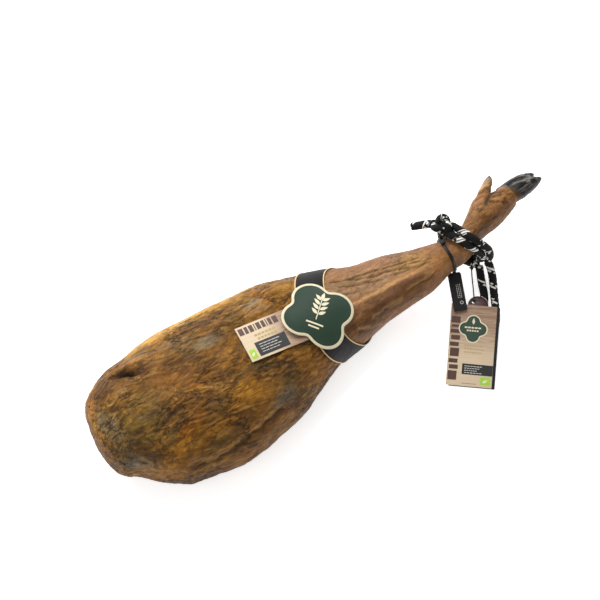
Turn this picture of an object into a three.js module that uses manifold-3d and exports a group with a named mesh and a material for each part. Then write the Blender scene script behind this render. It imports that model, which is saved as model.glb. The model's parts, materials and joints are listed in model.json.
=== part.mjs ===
// A whole cured shoulder ham with its trotter, lying on its broad side: +X runs from the fat end to
// the claws, +Z is up, and z = 0 is the surface that it rests on. Millimetres throughout.
import * as THREE from 'three';
import { mergeVertices } from 'three/addons/utils/BufferGeometryUtils.js';
import Module from 'manifold-3d';

const wasm = await Module();
wasm.setup();

// ---- Driving dimensions of the ham ----
const HAM_LENGTH = 688; // fat end to claw tips
const BODY_WIDTH = 202; // widest, across the fat end
const BODY_HEIGHT = 118; // thickest, over the table
const BODY_PRESS = 9; // how much of its round underside is pressed flat
const SHANK_WIDTH = 77; // half way along the shank
const SHANK_HEIGHT = 60;
const PASTERN_WIDTH = 36; // narrowest, above the foot
const PASTERN_HEIGHT = 39;
const FOOT_WIDTH = 46;
const FOOT_HEIGHT = 50;
const AXIS_HEIGHT = 53; // of the shank's and the foot's middle over the table
const CLAW_LENGTH = 60;
const CLAW_WIDTH = 25;
const DEWCLAW_LENGTH = 49;
const DEWCLAW_WIDTH = 20;

// ---- What is wrapped round it or laid on it ----
const CLEARANCE = 0.4; // between any two pieces that touch
const BAND_AT = 352; // from the fat end to the band's middle
const BAND_WIDTH = 38;
const BAND_LEAN = 40; // how far its top is pulled towards the fat end
const BAND_THICKNESS = 0.8;
const BAND_EASE = 0.5; // extra room between the ham and what is hooped round it
const BADGE_AT = [314, -1]; // from the fat end, and across from the middle line
const BADGE_LOBE = 24; // radius of each of its four lobes
const BADGE_SPREAD = 23.5; // from its centre to each lobe's centre
const BADGE_THICKNESS = 1.2;
const BADGE_TURN = -9; // degrees
const LABEL_AT = [251, 3];
const LABEL_LENGTH = 80;
const LABEL_WIDTH = 51;
const LABEL_TURN = -5; // degrees
const CARD_THICKNESS = 0.9;
const SEAL_AT = 514; // from the fat end to the seal's ring
const SEAL_LEAN = 4; // how far its top is pulled towards the fat end
const SEAL_RING_WIDTH = 3.6;
const SEAL_RING_THICKNESS = 1.6;
const SEAL_FLAG_WIDTH = 17;
const SEAL_FLAG_THICKNESS = 1.5;

// ---- The rope, the string and the tags ----
const ROPE_DIAMETER = 11;
const LASHING_AT = 547; // from the fat end to the middle of the rope's turns
const LASHING_SLANT = 14; // how far the turns run down the pastern from the far side to the near one
const LASHING_TURNS = 2;
const LASHING_SLACK = 3; // between the turns and the skin
const KNOT_AT = 528;
const KNOT_RADIUS = 14;
const STRING_DIAMETER = 1.8;
const BEAD_RADIUS = 3;
const DISC_RADIUS = 13.5;
const DISC_THICKNESS = 2.6;
const DISC_HOLE_RADIUS = 1.9;
const DISC_AT = [177.5, -63.5];
const DISC_TURN = 20; // degrees
const TAG_WIDTH = 59;
const TAG_LENGTH = 108;
const TAG_FOOT = [106.5, -148]; // middle of the tags' lower edge, on the table
const TAG_HEADING = 52.6; // degrees from +X to the tags' long side
const TAG_PROP = 58; // from the lower edge to where the rope props the tags up
const BACK_TAG_SHIFT = [4, -0.6]; // how far the back tag peeps out

// The loop of rope: down from the pastern, along the table under the tags, and back up.
const ROPE_ROUTE = [
  [217.5, -21, 30], [218.5, -26, 27.5], [217.5, -35, 20], [214, -45, 11], [209.5, -54, 6.6],
  [204, -64, 5.6], [198, -75, 5.6], [190.5, -87, 5.6], [180.5, -98, 5.6], [168, -105, 5.6],
  [154, -104, 5.6], [144.5, -95, 5.6], [144.5, -83, 5.6], [154, -74.5, 5.6], [167, -71.5, 5.6],
  [180, -67.5, 5.6], [190, -60, 5.6], [196.5, -50, 6.6], [200, -40, 11], [203, -31, 19],
  [205.5, -24, 24.5], [206.5, -20, 27.5],
];
// The string, from the pastern to the disc's hole.
const STRING_ROUTE = [
  [198, -14.5, 27], [197, -17.5, 25.2], [194.6, -22, 22.6], [191, -29, 19.2], [187, -37, 16.8],
  [183, -44.5, 16], [179.4, -50.6, 15.9], [176, -55.6, 15.6],
];
const BEAD_STEP = 1; // which of the string's points the bead sits on
const FLAG_ROOT_ANGLE = 1.2 * Math.PI; // round the shank, from its far side over the crest
const FLAG_END = [151, -61];
const FLAG_LIFT = 3.7; // of the flag's end over the front tag
// Along the flag, its share of the full width, and how far it sags: a narrow neck, then full width.
const FLAG_SHAPE = [[0, 0.25, 0], [0.1, 0.3, 0.3], [0.3, 1, 0.9], [0.5, 1, 1.2], [1, 1, 0]];
// The cut tail's points, from the knot's middle.
const TAIL_STEPS = [
  [-5, 5, -3.5], [-13, 11, -4.5], [-21, 17, -6.5], [-29, 23, -9.5], [-37, 28.5, -13.5],
];

const AROUND = 48; // points round each section of the ham
const ROPE_SIDES = 12;
const STRING_SIDES = 8;

// ---- Meshes ----

// A closed skin over rings of points. It ends in a point at each end, or runs round to its start.
function skin(rings, ends) {
  const sides = rings[0].length;
  const points = rings.flat();
  const faces = [];
  const spans = ends ? rings.length - 1 : rings.length;
  for (let i = 0; i < spans; i++) {
    const next = (i + 1) % rings.length;
    for (let j = 0; j < sides; j++) {
      const k = (j + 1) % sides;
      const [a, b] = [i * sides + j, i * sides + k];
      const [c, d] = [next * sides + j, next * sides + k];
      faces.push(a, b, d, a, d, c);
    }
  }
  if (ends) {
    const first = points.push(ends[0]) - 1;
    const last = points.push(ends[1]) - 1;
    const base = (rings.length - 1) * sides;
    for (let j = 0; j < sides; j++) {
      const k = (j + 1) % sides;
      faces.push(first, k, j, last, base + j, base + k);
    }
  }
  const geometry = new THREE.BufferGeometry().setFromPoints(points);
  geometry.setIndex(faces);
  geometry.computeVertexNormals();
  return geometry;
}

// A geometry's corners and triangles as a solid that can be joined or cut, turned outside out.
function solid(geometry) {
  const bare = new THREE.BufferGeometry();
  bare.setAttribute('position', geometry.getAttribute('position'));
  if (geometry.index) bare.setIndex(geometry.index);
  const merged = mergeVertices(bare, 1e-3);
  const vertProperties = merged.attributes.position.array;
  const triVerts = new Uint32Array(merged.index.array);
  const made = new wasm.Manifold(new wasm.Mesh({ numProp: 3, vertProperties, triVerts }));
  if (made.volume() > 0) return made;
  for (let i = 0; i < triVerts.length; i += 3) {
    [triVerts[i + 1], triVerts[i + 2]] = [triVerts[i + 2], triVerts[i + 1]];
  }
  return new wasm.Manifold(new wasm.Mesh({ numProp: 3, vertProperties, triVerts }));
}

function geometryOf(manifold) {
  const made = manifold.getMesh();
  const points = [];
  for (let i = 0; i < made.numVert; i++) {
    points.push(new THREE.Vector3().fromArray(made.vertProperties, i * made.numProp));
  }
  const geometry = new THREE.BufferGeometry().setFromPoints(points);
  geometry.setIndex([...made.triVerts]);
  geometry.computeVertexNormals();
  return geometry;
}

function joined(geometries) {
  return geometryOf(geometries.map(solid).reduce((sum, next) => sum.add(next)));
}

const vector = ([x, y, z]) => new THREE.Vector3(x, y, z);

// A round bar along a route.
function bar(route, diameter, sides, steps) {
  const outline = new THREE.Shape();
  for (let i = 0; i < sides; i++) {
    const angle = (2 * Math.PI * i) / sides;
    const [x, y] = [(diameter / 2) * Math.cos(angle), (diameter / 2) * Math.sin(angle)];
    if (i === 0) outline.moveTo(x, y);
    else outline.lineTo(x, y);
  }
  const extrudePath = new THREE.CatmullRomCurve3(route.map(vector), false, 'centripetal');
  return new THREE.ExtrudeGeometry(outline, { steps, extrudePath, bevelEnabled: false });
}

// A tapering horn: rings along a route, each with its own half width and half height.
function horn(stations, sides, tip) {
  const rings = stations.map(([x, y, z, wide, high]) => {
    const ring = [];
    for (let j = 0; j < sides; j++) {
      const angle = (2 * Math.PI * j) / sides;
      ring.push(new THREE.Vector3(x, y + wide * Math.cos(angle), z + high * Math.sin(angle)));
    }
    return ring;
  });
  const [x, y, z] = stations[0];
  return skin(rings, [new THREE.Vector3(x, y, z), vector(tip)]);
}

// ---- The ham's surface ----

// Each row is a section: its distance from the fat end, its middle's drift across, its half width,
// its base and crest, and how far the crest leans towards the near side.
const bodyRow = ([along, drift, half, base, crest, lean]) => [
  along * HAM_LENGTH, drift, (half * BODY_WIDTH) / 2, base * BODY_HEIGHT - BODY_PRESS,
  crest * BODY_HEIGHT, lean,
];
const shankRow = ([along, drift, half, base, crest, lean]) => [
  along * HAM_LENGTH, drift, (half * SHANK_WIDTH) / 2, AXIS_HEIGHT - (base * SHANK_HEIGHT) / 2,
  AXIS_HEIGHT + (crest * SHANK_HEIGHT) / 2, lean,
];
const pasternRow = ([along, drift, half]) => [
  along * HAM_LENGTH, drift, (half * PASTERN_WIDTH) / 2, AXIS_HEIGHT - PASTERN_HEIGHT / 2,
  AXIS_HEIGHT + PASTERN_HEIGHT / 2, 0,
];
const footRow = ([along, drift, half, high]) => [
  along * HAM_LENGTH, drift, (half * FOOT_WIDTH) / 2, AXIS_HEIGHT - (high * FOOT_HEIGHT) / 2,
  AXIS_HEIGHT + (high * FOOT_HEIGHT) / 2, 0,
];

const ROWS = [
  ...[
    [0.002, 2, 0.2, 0.4, 0.6, 0],
    [0.0101, 8, 0.43, 0.27, 0.74, -1],
    [0.0223, 11, 0.54, 0.19, 0.81, -2],
    [0.0395, 12, 0.61, 0.14, 0.87, -3],
    [0.0614, 9.5, 0.735, 0.07, 0.92, -5],
    [0.0861, 5.5, 0.835, 0.03, 0.96, -8],
    [0.1148, 1, 0.905, 0.01, 0.98, -8],
    [0.1731, 1.5, 0.978, 0, 1, -8],
    [0.2151, 0, 1, 0, 1, -8],
    [0.2887, 2.2, 0.968, 0, 0.98, -8],
    [0.3471, 5.6, 0.912, 0, 0.95, -9],
    [0.4054, 12.6, 0.808, 0.03, 0.91, -11],
    [0.4637, 16, 0.66, 0.1, 0.85, -14],
  ].map(bodyRow),
  ...[
    [0.522, 13.7, 1.48, 1.42, 1.22, -16],
    [0.5804, 10.5, 1.15, 1.22, 1.1, -15],
    [0.6376, 7.7, 1, 1, 1, -13],
    [0.696, 2.5, 0.78, 0.84, 0.86, -8],
    [0.7472, 4, 0.53, 0.7, 0.7, -3],
  ].map(shankRow),
  ...[
    [0.7717, 2.5, 1],
    [0.7912, 6, 1],
  ].map(pasternRow),
  ...[
    [0.8085, 12, 0.8, 0.8],
    [0.827, 20.5, 0.82, 0.86],
    [0.8474, 27.5, 1, 0.98],
    [0.8617, 29.5, 1.04, 1],
    [0.8822, 28.5, 0.86, 0.9],
    [0.9057, 31, 0.72, 0.76],
    [0.9211, 33.5, 0.64, 0.64],
  ].map(footRow),
];

// Each column of the rows as a smooth curve that never overshoots.
function smooth(column) {
  const x = ROWS.map((row) => row[0]);
  const y = ROWS.map((row) => row[column]);
  const rise = x.slice(1).map((next, i) => (y[i + 1] - y[i]) / (next - x[i]));
  const slope = y.map((_, i) => {
    if (i === 0 || i === y.length - 1) return rise[Math.min(i, rise.length - 1)];
    const [before, after] = [rise[i - 1], rise[i]];
    return before * after <= 0 ? 0 : (2 * before * after) / (before + after);
  });
  return (at) => {
    let i = 0;
    while (i < x.length - 2 && at > x[i + 1]) i++;
    const wide = x[i + 1] - x[i];
    const t = Math.min(Math.max((at - x[i]) / wide, 0), 1);
    const [t2, t3] = [t * t, t * t * t];
    return (2 * t3 - 3 * t2 + 1) * y[i] + (t3 - 2 * t2 + t) * wide * slope[i]
      + (3 * t2 - 2 * t3) * y[i + 1] + (t3 - t2) * wide * slope[i + 1];
  };
}
const [driftAt, halfAt, baseAt, crestAt, leanAt] = [1, 2, 3, 4, 5].map(smooth);

const BELLY = 0.46; // share of a section's height at which it is widest
const FULLNESS = 0.88; // under 1, a section is fuller than an ellipse
const fuller = (value) => Math.sign(value) * Math.abs(value) ** FULLNESS;
const START = -HAM_LENGTH / 2; // the fat end's place along X

// A point of the skin: `along` from the fat end, `angle` from the far side over the crest.
function onHam(along, angle) {
  const [base, crest] = [baseAt(along), crestAt(along)];
  const belly = base + BELLY * (crest - base);
  const across = fuller(Math.cos(angle));
  const up = fuller(Math.sin(angle));
  const lean = up > 0 ? leanAt(along) * up ** 3 : 0;
  const y = driftAt(along) + halfAt(along) * across + lean;
  const z = belly + up * (up > 0 ? crest - belly : belly - base);
  return new THREE.Vector3(START + along, y, Math.max(z, 0));
}

// The same point lifted straight off the skin.
function offHam(along, angle, lift) {
  const step = 0.5;
  const back = onHam(along - step, angle);
  const lengthwise = onHam(along + step, angle).sub(back);
  const before = onHam(along, angle - 0.01);
  const round = onHam(along, angle + 0.01).sub(before);
  const normal = round.cross(lengthwise).normalize();
  const centre = new THREE.Vector3(START + along, driftAt(along), AXIS_HEIGHT);
  const point = onHam(along, angle);
  if (normal.dot(point.clone().sub(centre)) < 0) normal.negate();
  return point.addScaledVector(normal, lift);
}

// How high the ham's upper side is over a place on the table.
function topOfHam(x, y) {
  let [low, high] = [0, Math.PI];
  for (let i = 0; i < 30; i++) {
    const middle = (low + high) / 2;
    if (onHam(x - START, middle).y > y) low = middle;
    else high = middle;
  }
  return onHam(x - START, low).z;
}

function hamLeg() {
  const places = [];
  for (let i = 0; i < ROWS.length - 1; i++) {
    const [from, to] = [ROWS[i][0], ROWS[i + 1][0]];
    const steps = Math.max(1, Math.round((to - from) / 13));
    for (let k = 0; k < steps; k++) places.push(from + ((to - from) * k) / steps);
  }
  places.push(ROWS.at(-1)[0]);
  const rings = places.map((along) => {
    const ring = [];
    for (let j = 0; j < AROUND; j++) ring.push(onHam(along, (2 * Math.PI * j) / AROUND));
    return ring;
  });
  const heel = ROWS.at(-1);
  const ends = [
    new THREE.Vector3(START, ROWS[0][1], BODY_HEIGHT * 0.45),
    new THREE.Vector3(START + heel[0] + 4, heel[1], AXIS_HEIGHT),
  ];
  return joined([skin(rings, ends), ...claws(), ...dewclaws()]);
}

// The two claws of the cloven hoof lie side by side, the near one a little higher and longer.
function claws() {
  const tip = HAM_LENGTH / 2;
  const [half, deep] = [CLAW_WIDTH / 2, CLAW_WIDTH * 0.56];
  const shape = [
    [1, 0, 0.86], [0.64, 0.3, 0.95], [0.4, 0.62, 0.82], [0.2, 0.86, 0.56], [0.06, 0.98, 0.24],
  ];
  const claw = (end, y, z, bend, hook) => horn(
    shape.map(([back, forward, size]) => [
      end - back * CLAW_LENGTH, y + bend * forward, z - hook * forward * forward,
      half * size, deep * size,
    ]),
    16, [end, y + bend, z - hook],
  );
  return [claw(tip, 32, AXIS_HEIGHT + 2, 4, 7), claw(tip - 4.5, 41, AXIS_HEIGHT - 3, 6, 4)];
}

// The two small claws behind the foot point forwards and outwards.
function dewclaws() {
  const root = START + ROWS.at(-4)[0] - 8;
  const shape = [[0, 1], [0.35, 0.94], [0.65, 0.76], [0.86, 0.56], [0.97, 0.34]];
  const dewclaw = (length, y, z, spread) => horn(
    shape.map(([forward, size]) => [
      root + forward * length * 0.82, y + forward * length * spread, z,
      (DEWCLAW_WIDTH / 2) * size, (DEWCLAW_WIDTH / 2) * size * 0.9,
    ]),
    14, [root + length * 0.82, y + length * spread, z],
  );
  return [
    dewclaw(DEWCLAW_LENGTH, 38, AXIS_HEIGHT + 8, 0.6),
    dewclaw(DEWCLAW_LENGTH * 0.94, 36, AXIS_HEIGHT - 9, 0.62),
  ];
}

// How high the front tag's upper face is over a place on the table.
const TAG_TILT = Math.atan2(ROPE_DIAMETER + CLEARANCE, TAG_PROP);
function topOfTag(x, y) {
  const heading = THREE.MathUtils.degToRad(TAG_HEADING);
  const up = (x - TAG_FOOT[0]) * Math.cos(heading) + (y - TAG_FOOT[1]) * Math.sin(heading);
  return 2 * CLEARANCE + CARD_THICKNESS + CARD_THICKNESS / Math.cos(TAG_TILT) + up * Math.tan(TAG_TILT);
}

// ---- Pieces that go round the ham ----

const HOOP_PHASE = Math.PI / 8; // a leaning hoop is furthest back this far past the crest

// A flat hoop round the ham, from one lift off the skin to another, its top pulled back by `lean`.
function hoop(at, lean, width, inner, outer, slices) {
  const rings = [];
  for (let j = 0; j < AROUND; j++) {
    const angle = (2 * Math.PI * j) / AROUND;
    const middle = at - lean * Math.sin(angle - HOOP_PHASE);
    const along = Array.from({ length: slices }, (_, i) => middle + width * (i / (slices - 1) - 0.5));
    rings.push([
      ...along.map((place) => offHam(place, angle, inner)),
      ...along.reverse().map((place) => offHam(place, angle, outer)),
    ]);
  }
  return skin(rings);
}

function labelBand() {
  const inner = CLEARANCE + BAND_EASE;
  return geometryOf(solid(hoop(BAND_AT, BAND_LEAN, BAND_WIDTH, inner, inner + BAND_THICKNESS, 5)));
}

// A thin ring with a small lock, and a wide flag that hangs from its near side onto the tags.
function sealStrap() {
  const inner = CLEARANCE + BAND_EASE;
  const outer = inner + SEAL_RING_THICKNESS;
  const ring = hoop(SEAL_AT, SEAL_LEAN, SEAL_RING_WIDTH, inner, outer, 2);
  const lockSize = 1.8 * SEAL_RING_WIDTH;
  const lock = new THREE.BoxGeometry(lockSize, lockSize * 0.8, lockSize * 0.6);
  const lockAt = offHam(SEAL_AT - SEAL_LEAN * 0.6, 0.36 * Math.PI, outer + lockSize * 0.35);
  lock.translate(lockAt.x, lockAt.y, lockAt.z);
  const root = offHam(SEAL_AT, FLAG_ROOT_ANGLE, inner + 0.8 * SEAL_RING_THICKNESS);
  const end = vector([...FLAG_END, topOfTag(...FLAG_END) + FLAG_LIFT]);
  const side = new THREE.Vector3(-0.96, 0.29, 0).multiplyScalar(SEAL_FLAG_WIDTH / 2);
  const rise = new THREE.Vector3(0, 0, SEAL_FLAG_THICKNESS / 2);
  const rings = FLAG_SHAPE.map(([share, width, sag]) => {
    const middle = root.clone().lerp(end, share);
    middle.z -= sag;
    const edge = side.clone().multiplyScalar(width);
    const corner = (across, up) => middle.clone().addScaledVector(edge, across).addScaledVector(rise, up);
    return [corner(1, -1), corner(-1, -1), corner(-1, 1), corner(1, 1)];
  });
  const flag = skin(rings, [root, end]);
  return joined([ring, lock, flag]);
}

// Turns of rope round the pastern, the knot on its far side, and the rope's cut tail.
function ropeLashing() {
  const radius = ROPE_DIAMETER / 2;
  const spread = (LASHING_TURNS - 1) * radius;
  const rings = [];
  for (let j = 0; j < AROUND; j++) {
    const angle = (2 * Math.PI * j) / AROUND;
    const middle = LASHING_AT - LASHING_SLANT * Math.cos(angle);
    const ring = [];
    for (let k = 0; k < ROPE_SIDES; k++) {
      const turn = (2 * Math.PI * k) / ROPE_SIDES;
      const along = radius * Math.cos(turn) + spread * Math.sign(Math.cos(turn));
      ring.push(offHam(middle + along, angle, LASHING_SLACK + radius * (1 + Math.sin(turn))));
    }
    rings.push(ring);
  }
  const knot = new THREE.SphereGeometry(KNOT_RADIUS, 20, 14);
  const knotAt = offHam(KNOT_AT, 0.2 * Math.PI, LASHING_SLACK + KNOT_RADIUS);
  knot.translate(knotAt.x, knotAt.y, knotAt.z);
  const tail = TAIL_STEPS.map((step) => vector(step).add(knotAt).toArray());
  return joined([skin(rings), knot, bar(tail, ROPE_DIAMETER, ROPE_SIDES, 8)]);
}

// The string with the small knot tied in it.
function tagString() {
  const bead = new THREE.SphereGeometry(BEAD_RADIUS, 14, 10);
  bead.translate(...STRING_ROUTE[BEAD_STEP]);
  return joined([bar(STRING_ROUTE, STRING_DIAMETER, STRING_SIDES, 20), bead]);
}

// ---- Cards that lie on the ham ----

// The four-lobed outline: arcs of four circles, cut off where they meet.
function badgeOutline(count) {
  const outline = [];
  for (let i = 0; i < count; i++) {
    const angle = (2 * Math.PI * i) / count;
    const off = Math.abs(((angle + Math.PI / 4) % (Math.PI / 2)) - Math.PI / 4);
    const reach = BADGE_SPREAD * Math.cos(off)
      + Math.sqrt(BADGE_LOBE ** 2 - (BADGE_SPREAD * Math.sin(off)) ** 2);
    outline.push([reach * Math.cos(angle), reach * Math.sin(angle)]);
  }
  return outline;
}

function labelOutline(steps) {
  const corners = [[0.5, 0.5], [-0.5, 0.5], [-0.5, -0.5], [0.5, -0.5]];
  return corners.flatMap(([x, y], i) => {
    const [toX, toY] = corners[(i + 1) % corners.length];
    return Array.from({ length: steps }, (_, k) => [
      LABEL_LENGTH * (x + ((toX - x) * k) / steps), LABEL_WIDTH * (y + ((toY - y) * k) / steps),
    ]);
  });
}

// A stiff card laid on the ham and on whatever else `under` gives the top of: it bends over the crest
// a little less than the ham does, and its underside clears what is below by CLEARANCE.
const CARD_ROUNDS = [0.2, 0.4, 0.6, 0.8, 1]; // shares of its outline where a card has rings of points
const CARD_MARGIN = 4; // past a label's edge, where a card over it still clears it
const CARD_GIVE = 0.8; // share of the ham's own bend that a card takes up
const CARD_GRIP = 0.62; // share of a card's half width at which it takes the ham's slope
function laidCard(outline, [along, across], turn, thickness, under) {
  const angle = THREE.MathUtils.degToRad(turn);
  const centre = [START + along, across];
  const place = ([x, y]) => [
    centre[0] + x * Math.cos(angle) - y * Math.sin(angle),
    centre[1] + x * Math.sin(angle) + y * Math.cos(angle),
  ];
  const margin = [0, 1].map((k) => Math.max(...outline.map((point) => point[k])) + CARD_MARGIN);
  const reach = CARD_GRIP * Math.max(...outline.map(([, y]) => y));
  const top = topOfHam(...centre);
  const [far, near] = [topOfHam(centre[0], across + reach), topOfHam(centre[0], across - reach)];
  const [ahead, behind] = [topOfHam(centre[0] + reach, across), topOfHam(centre[0] - reach, across)];
  const bend = (CARD_GIVE * (far + near - 2 * top)) / (2 * reach * reach);
  const tilt = [(ahead - behind) / (2 * reach), (far - near) / (2 * reach)];
  const height = (x, y) => top + tilt[0] * (x - centre[0]) + tilt[1] * (y - across)
    + bend * (y - across) ** 2;
  const rounds = CARD_ROUNDS.map((share) => outline.map(([x, y]) => place([x * share, y * share])));
  const gaps = [...rounds.flat(), centre].map(([x, y]) => under(x, y) - height(x, y));
  const raise = Math.max(...gaps) + CLEARANCE;
  const layer = (round, up) => round.map(([x, y]) => new THREE.Vector3(x, y, height(x, y) + raise + up));
  const rings = [
    ...rounds.map((round) => layer(round, 0)),
    ...rounds.toReversed().map((round) => layer(round, thickness)),
  ];
  const ends = [0, thickness].map((up) => layer([centre], up)[0]);
  const topAt = (x, y) => {
    const [dx, dy] = [x - centre[0], y - centre[1]];
    const [u, v] = [dx * Math.cos(angle) + dy * Math.sin(angle), dy * Math.cos(angle) - dx * Math.sin(angle)];
    const inside = Math.abs(u) < margin[0] && Math.abs(v) < margin[1];
    return inside ? height(x, y) + raise + thickness : 0;
  };
  return { geometry: geometryOf(solid(skin(rings, ends))), topAt };
}

const label = laidCard(labelOutline(8), LABEL_AT, LABEL_TURN, CARD_THICKNESS, topOfHam);
const bandTop = CLEARANCE + BAND_EASE + 1.4 * BAND_THICKNESS;
const badge = laidCard(
  badgeOutline(64), BADGE_AT, BADGE_TURN, BADGE_THICKNESS,
  (x, y) => Math.max(topOfHam(x, y) + bandTop, label.topAt(x, y)),
);

// ---- The tags and the disc ----

function tagGeometry() {
  const outline = new THREE.Shape();
  outline.moveTo(-TAG_WIDTH / 2, 0);
  outline.lineTo(TAG_WIDTH / 2, 0);
  outline.lineTo(TAG_WIDTH / 2, TAG_LENGTH);
  outline.lineTo(-TAG_WIDTH / 2, TAG_LENGTH);
  return new THREE.ExtrudeGeometry(outline, { depth: CARD_THICKNESS, bevelEnabled: false });
}

function discGeometry() {
  const outline = new THREE.Shape();
  outline.absarc(0, 0, DISC_RADIUS, 0, 2 * Math.PI);
  const hole = new THREE.Path();
  hole.absarc(0, DISC_RADIUS - 3 * DISC_HOLE_RADIUS, DISC_HOLE_RADIUS, 0, 2 * Math.PI, true);
  outline.holes.push(hole);
  return new THREE.ExtrudeGeometry(outline, {
    depth: DISC_THICKNESS, bevelEnabled: false, curveSegments: 32,
  });
}

// ---- The assembly ----

const ham = new THREE.Group();

function add(name, geometry, colour, roughness, parent = ham) {
  const material = new THREE.MeshStandardMaterial({ color: colour, roughness, metalness: 0 });
  const mesh = new THREE.Mesh(geometry, material);
  mesh.name = name;
  parent.add(mesh);
  return mesh;
}

add('ham_leg', hamLeg(), 0x8a5c2e, 0.55);
add('label_band', labelBand(), 0x17181a, 0.5);
add('badge', badge.geometry, 0x35523e, 0.45);
add('small_label', label.geometry, 0xcdb89a, 0.6);
add('seal_strap', sealStrap(), 0x16171a, 0.4);
add('rope_lashing', ropeLashing(), 0x18181a, 0.85);
add('rope_loop', bar(ROPE_ROUTE, ROPE_DIAMETER, ROPE_SIDES, 64), 0x18181a, 0.85);
add('tag_string', tagString(), 0x141416, 0.7);

const disc = add('disc_seal', discGeometry(), 0x3e1f1c, 0.45);
disc.position.set(...DISC_AT, ROPE_DIAMETER + 1.5 * CLEARANCE);
disc.rotation.z = THREE.MathUtils.degToRad(DISC_TURN);

const tagGroup = new THREE.Group();
tagGroup.position.set(...TAG_FOOT, CLEARANCE);
tagGroup.rotation.z = THREE.MathUtils.degToRad(TAG_HEADING - 90);
ham.add(tagGroup);
const back = add('tag_back', tagGeometry(), 0x1d1c1b, 0.6, tagGroup);
back.rotation.x = TAG_TILT;
back.position.set(BACK_TAG_SHIFT[0], BACK_TAG_SHIFT[1], 0);
const front = add('tag_front', tagGeometry(), 0xc9b193, 0.6, tagGroup);
front.rotation.x = TAG_TILT;
front.position.set(0, 0, CARD_THICKNESS + CLEARANCE);

export default ham;
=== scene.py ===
"""Looks of a whole cured ham on the bone, with its label band, badge, seal, rope and hang tags."""

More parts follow.
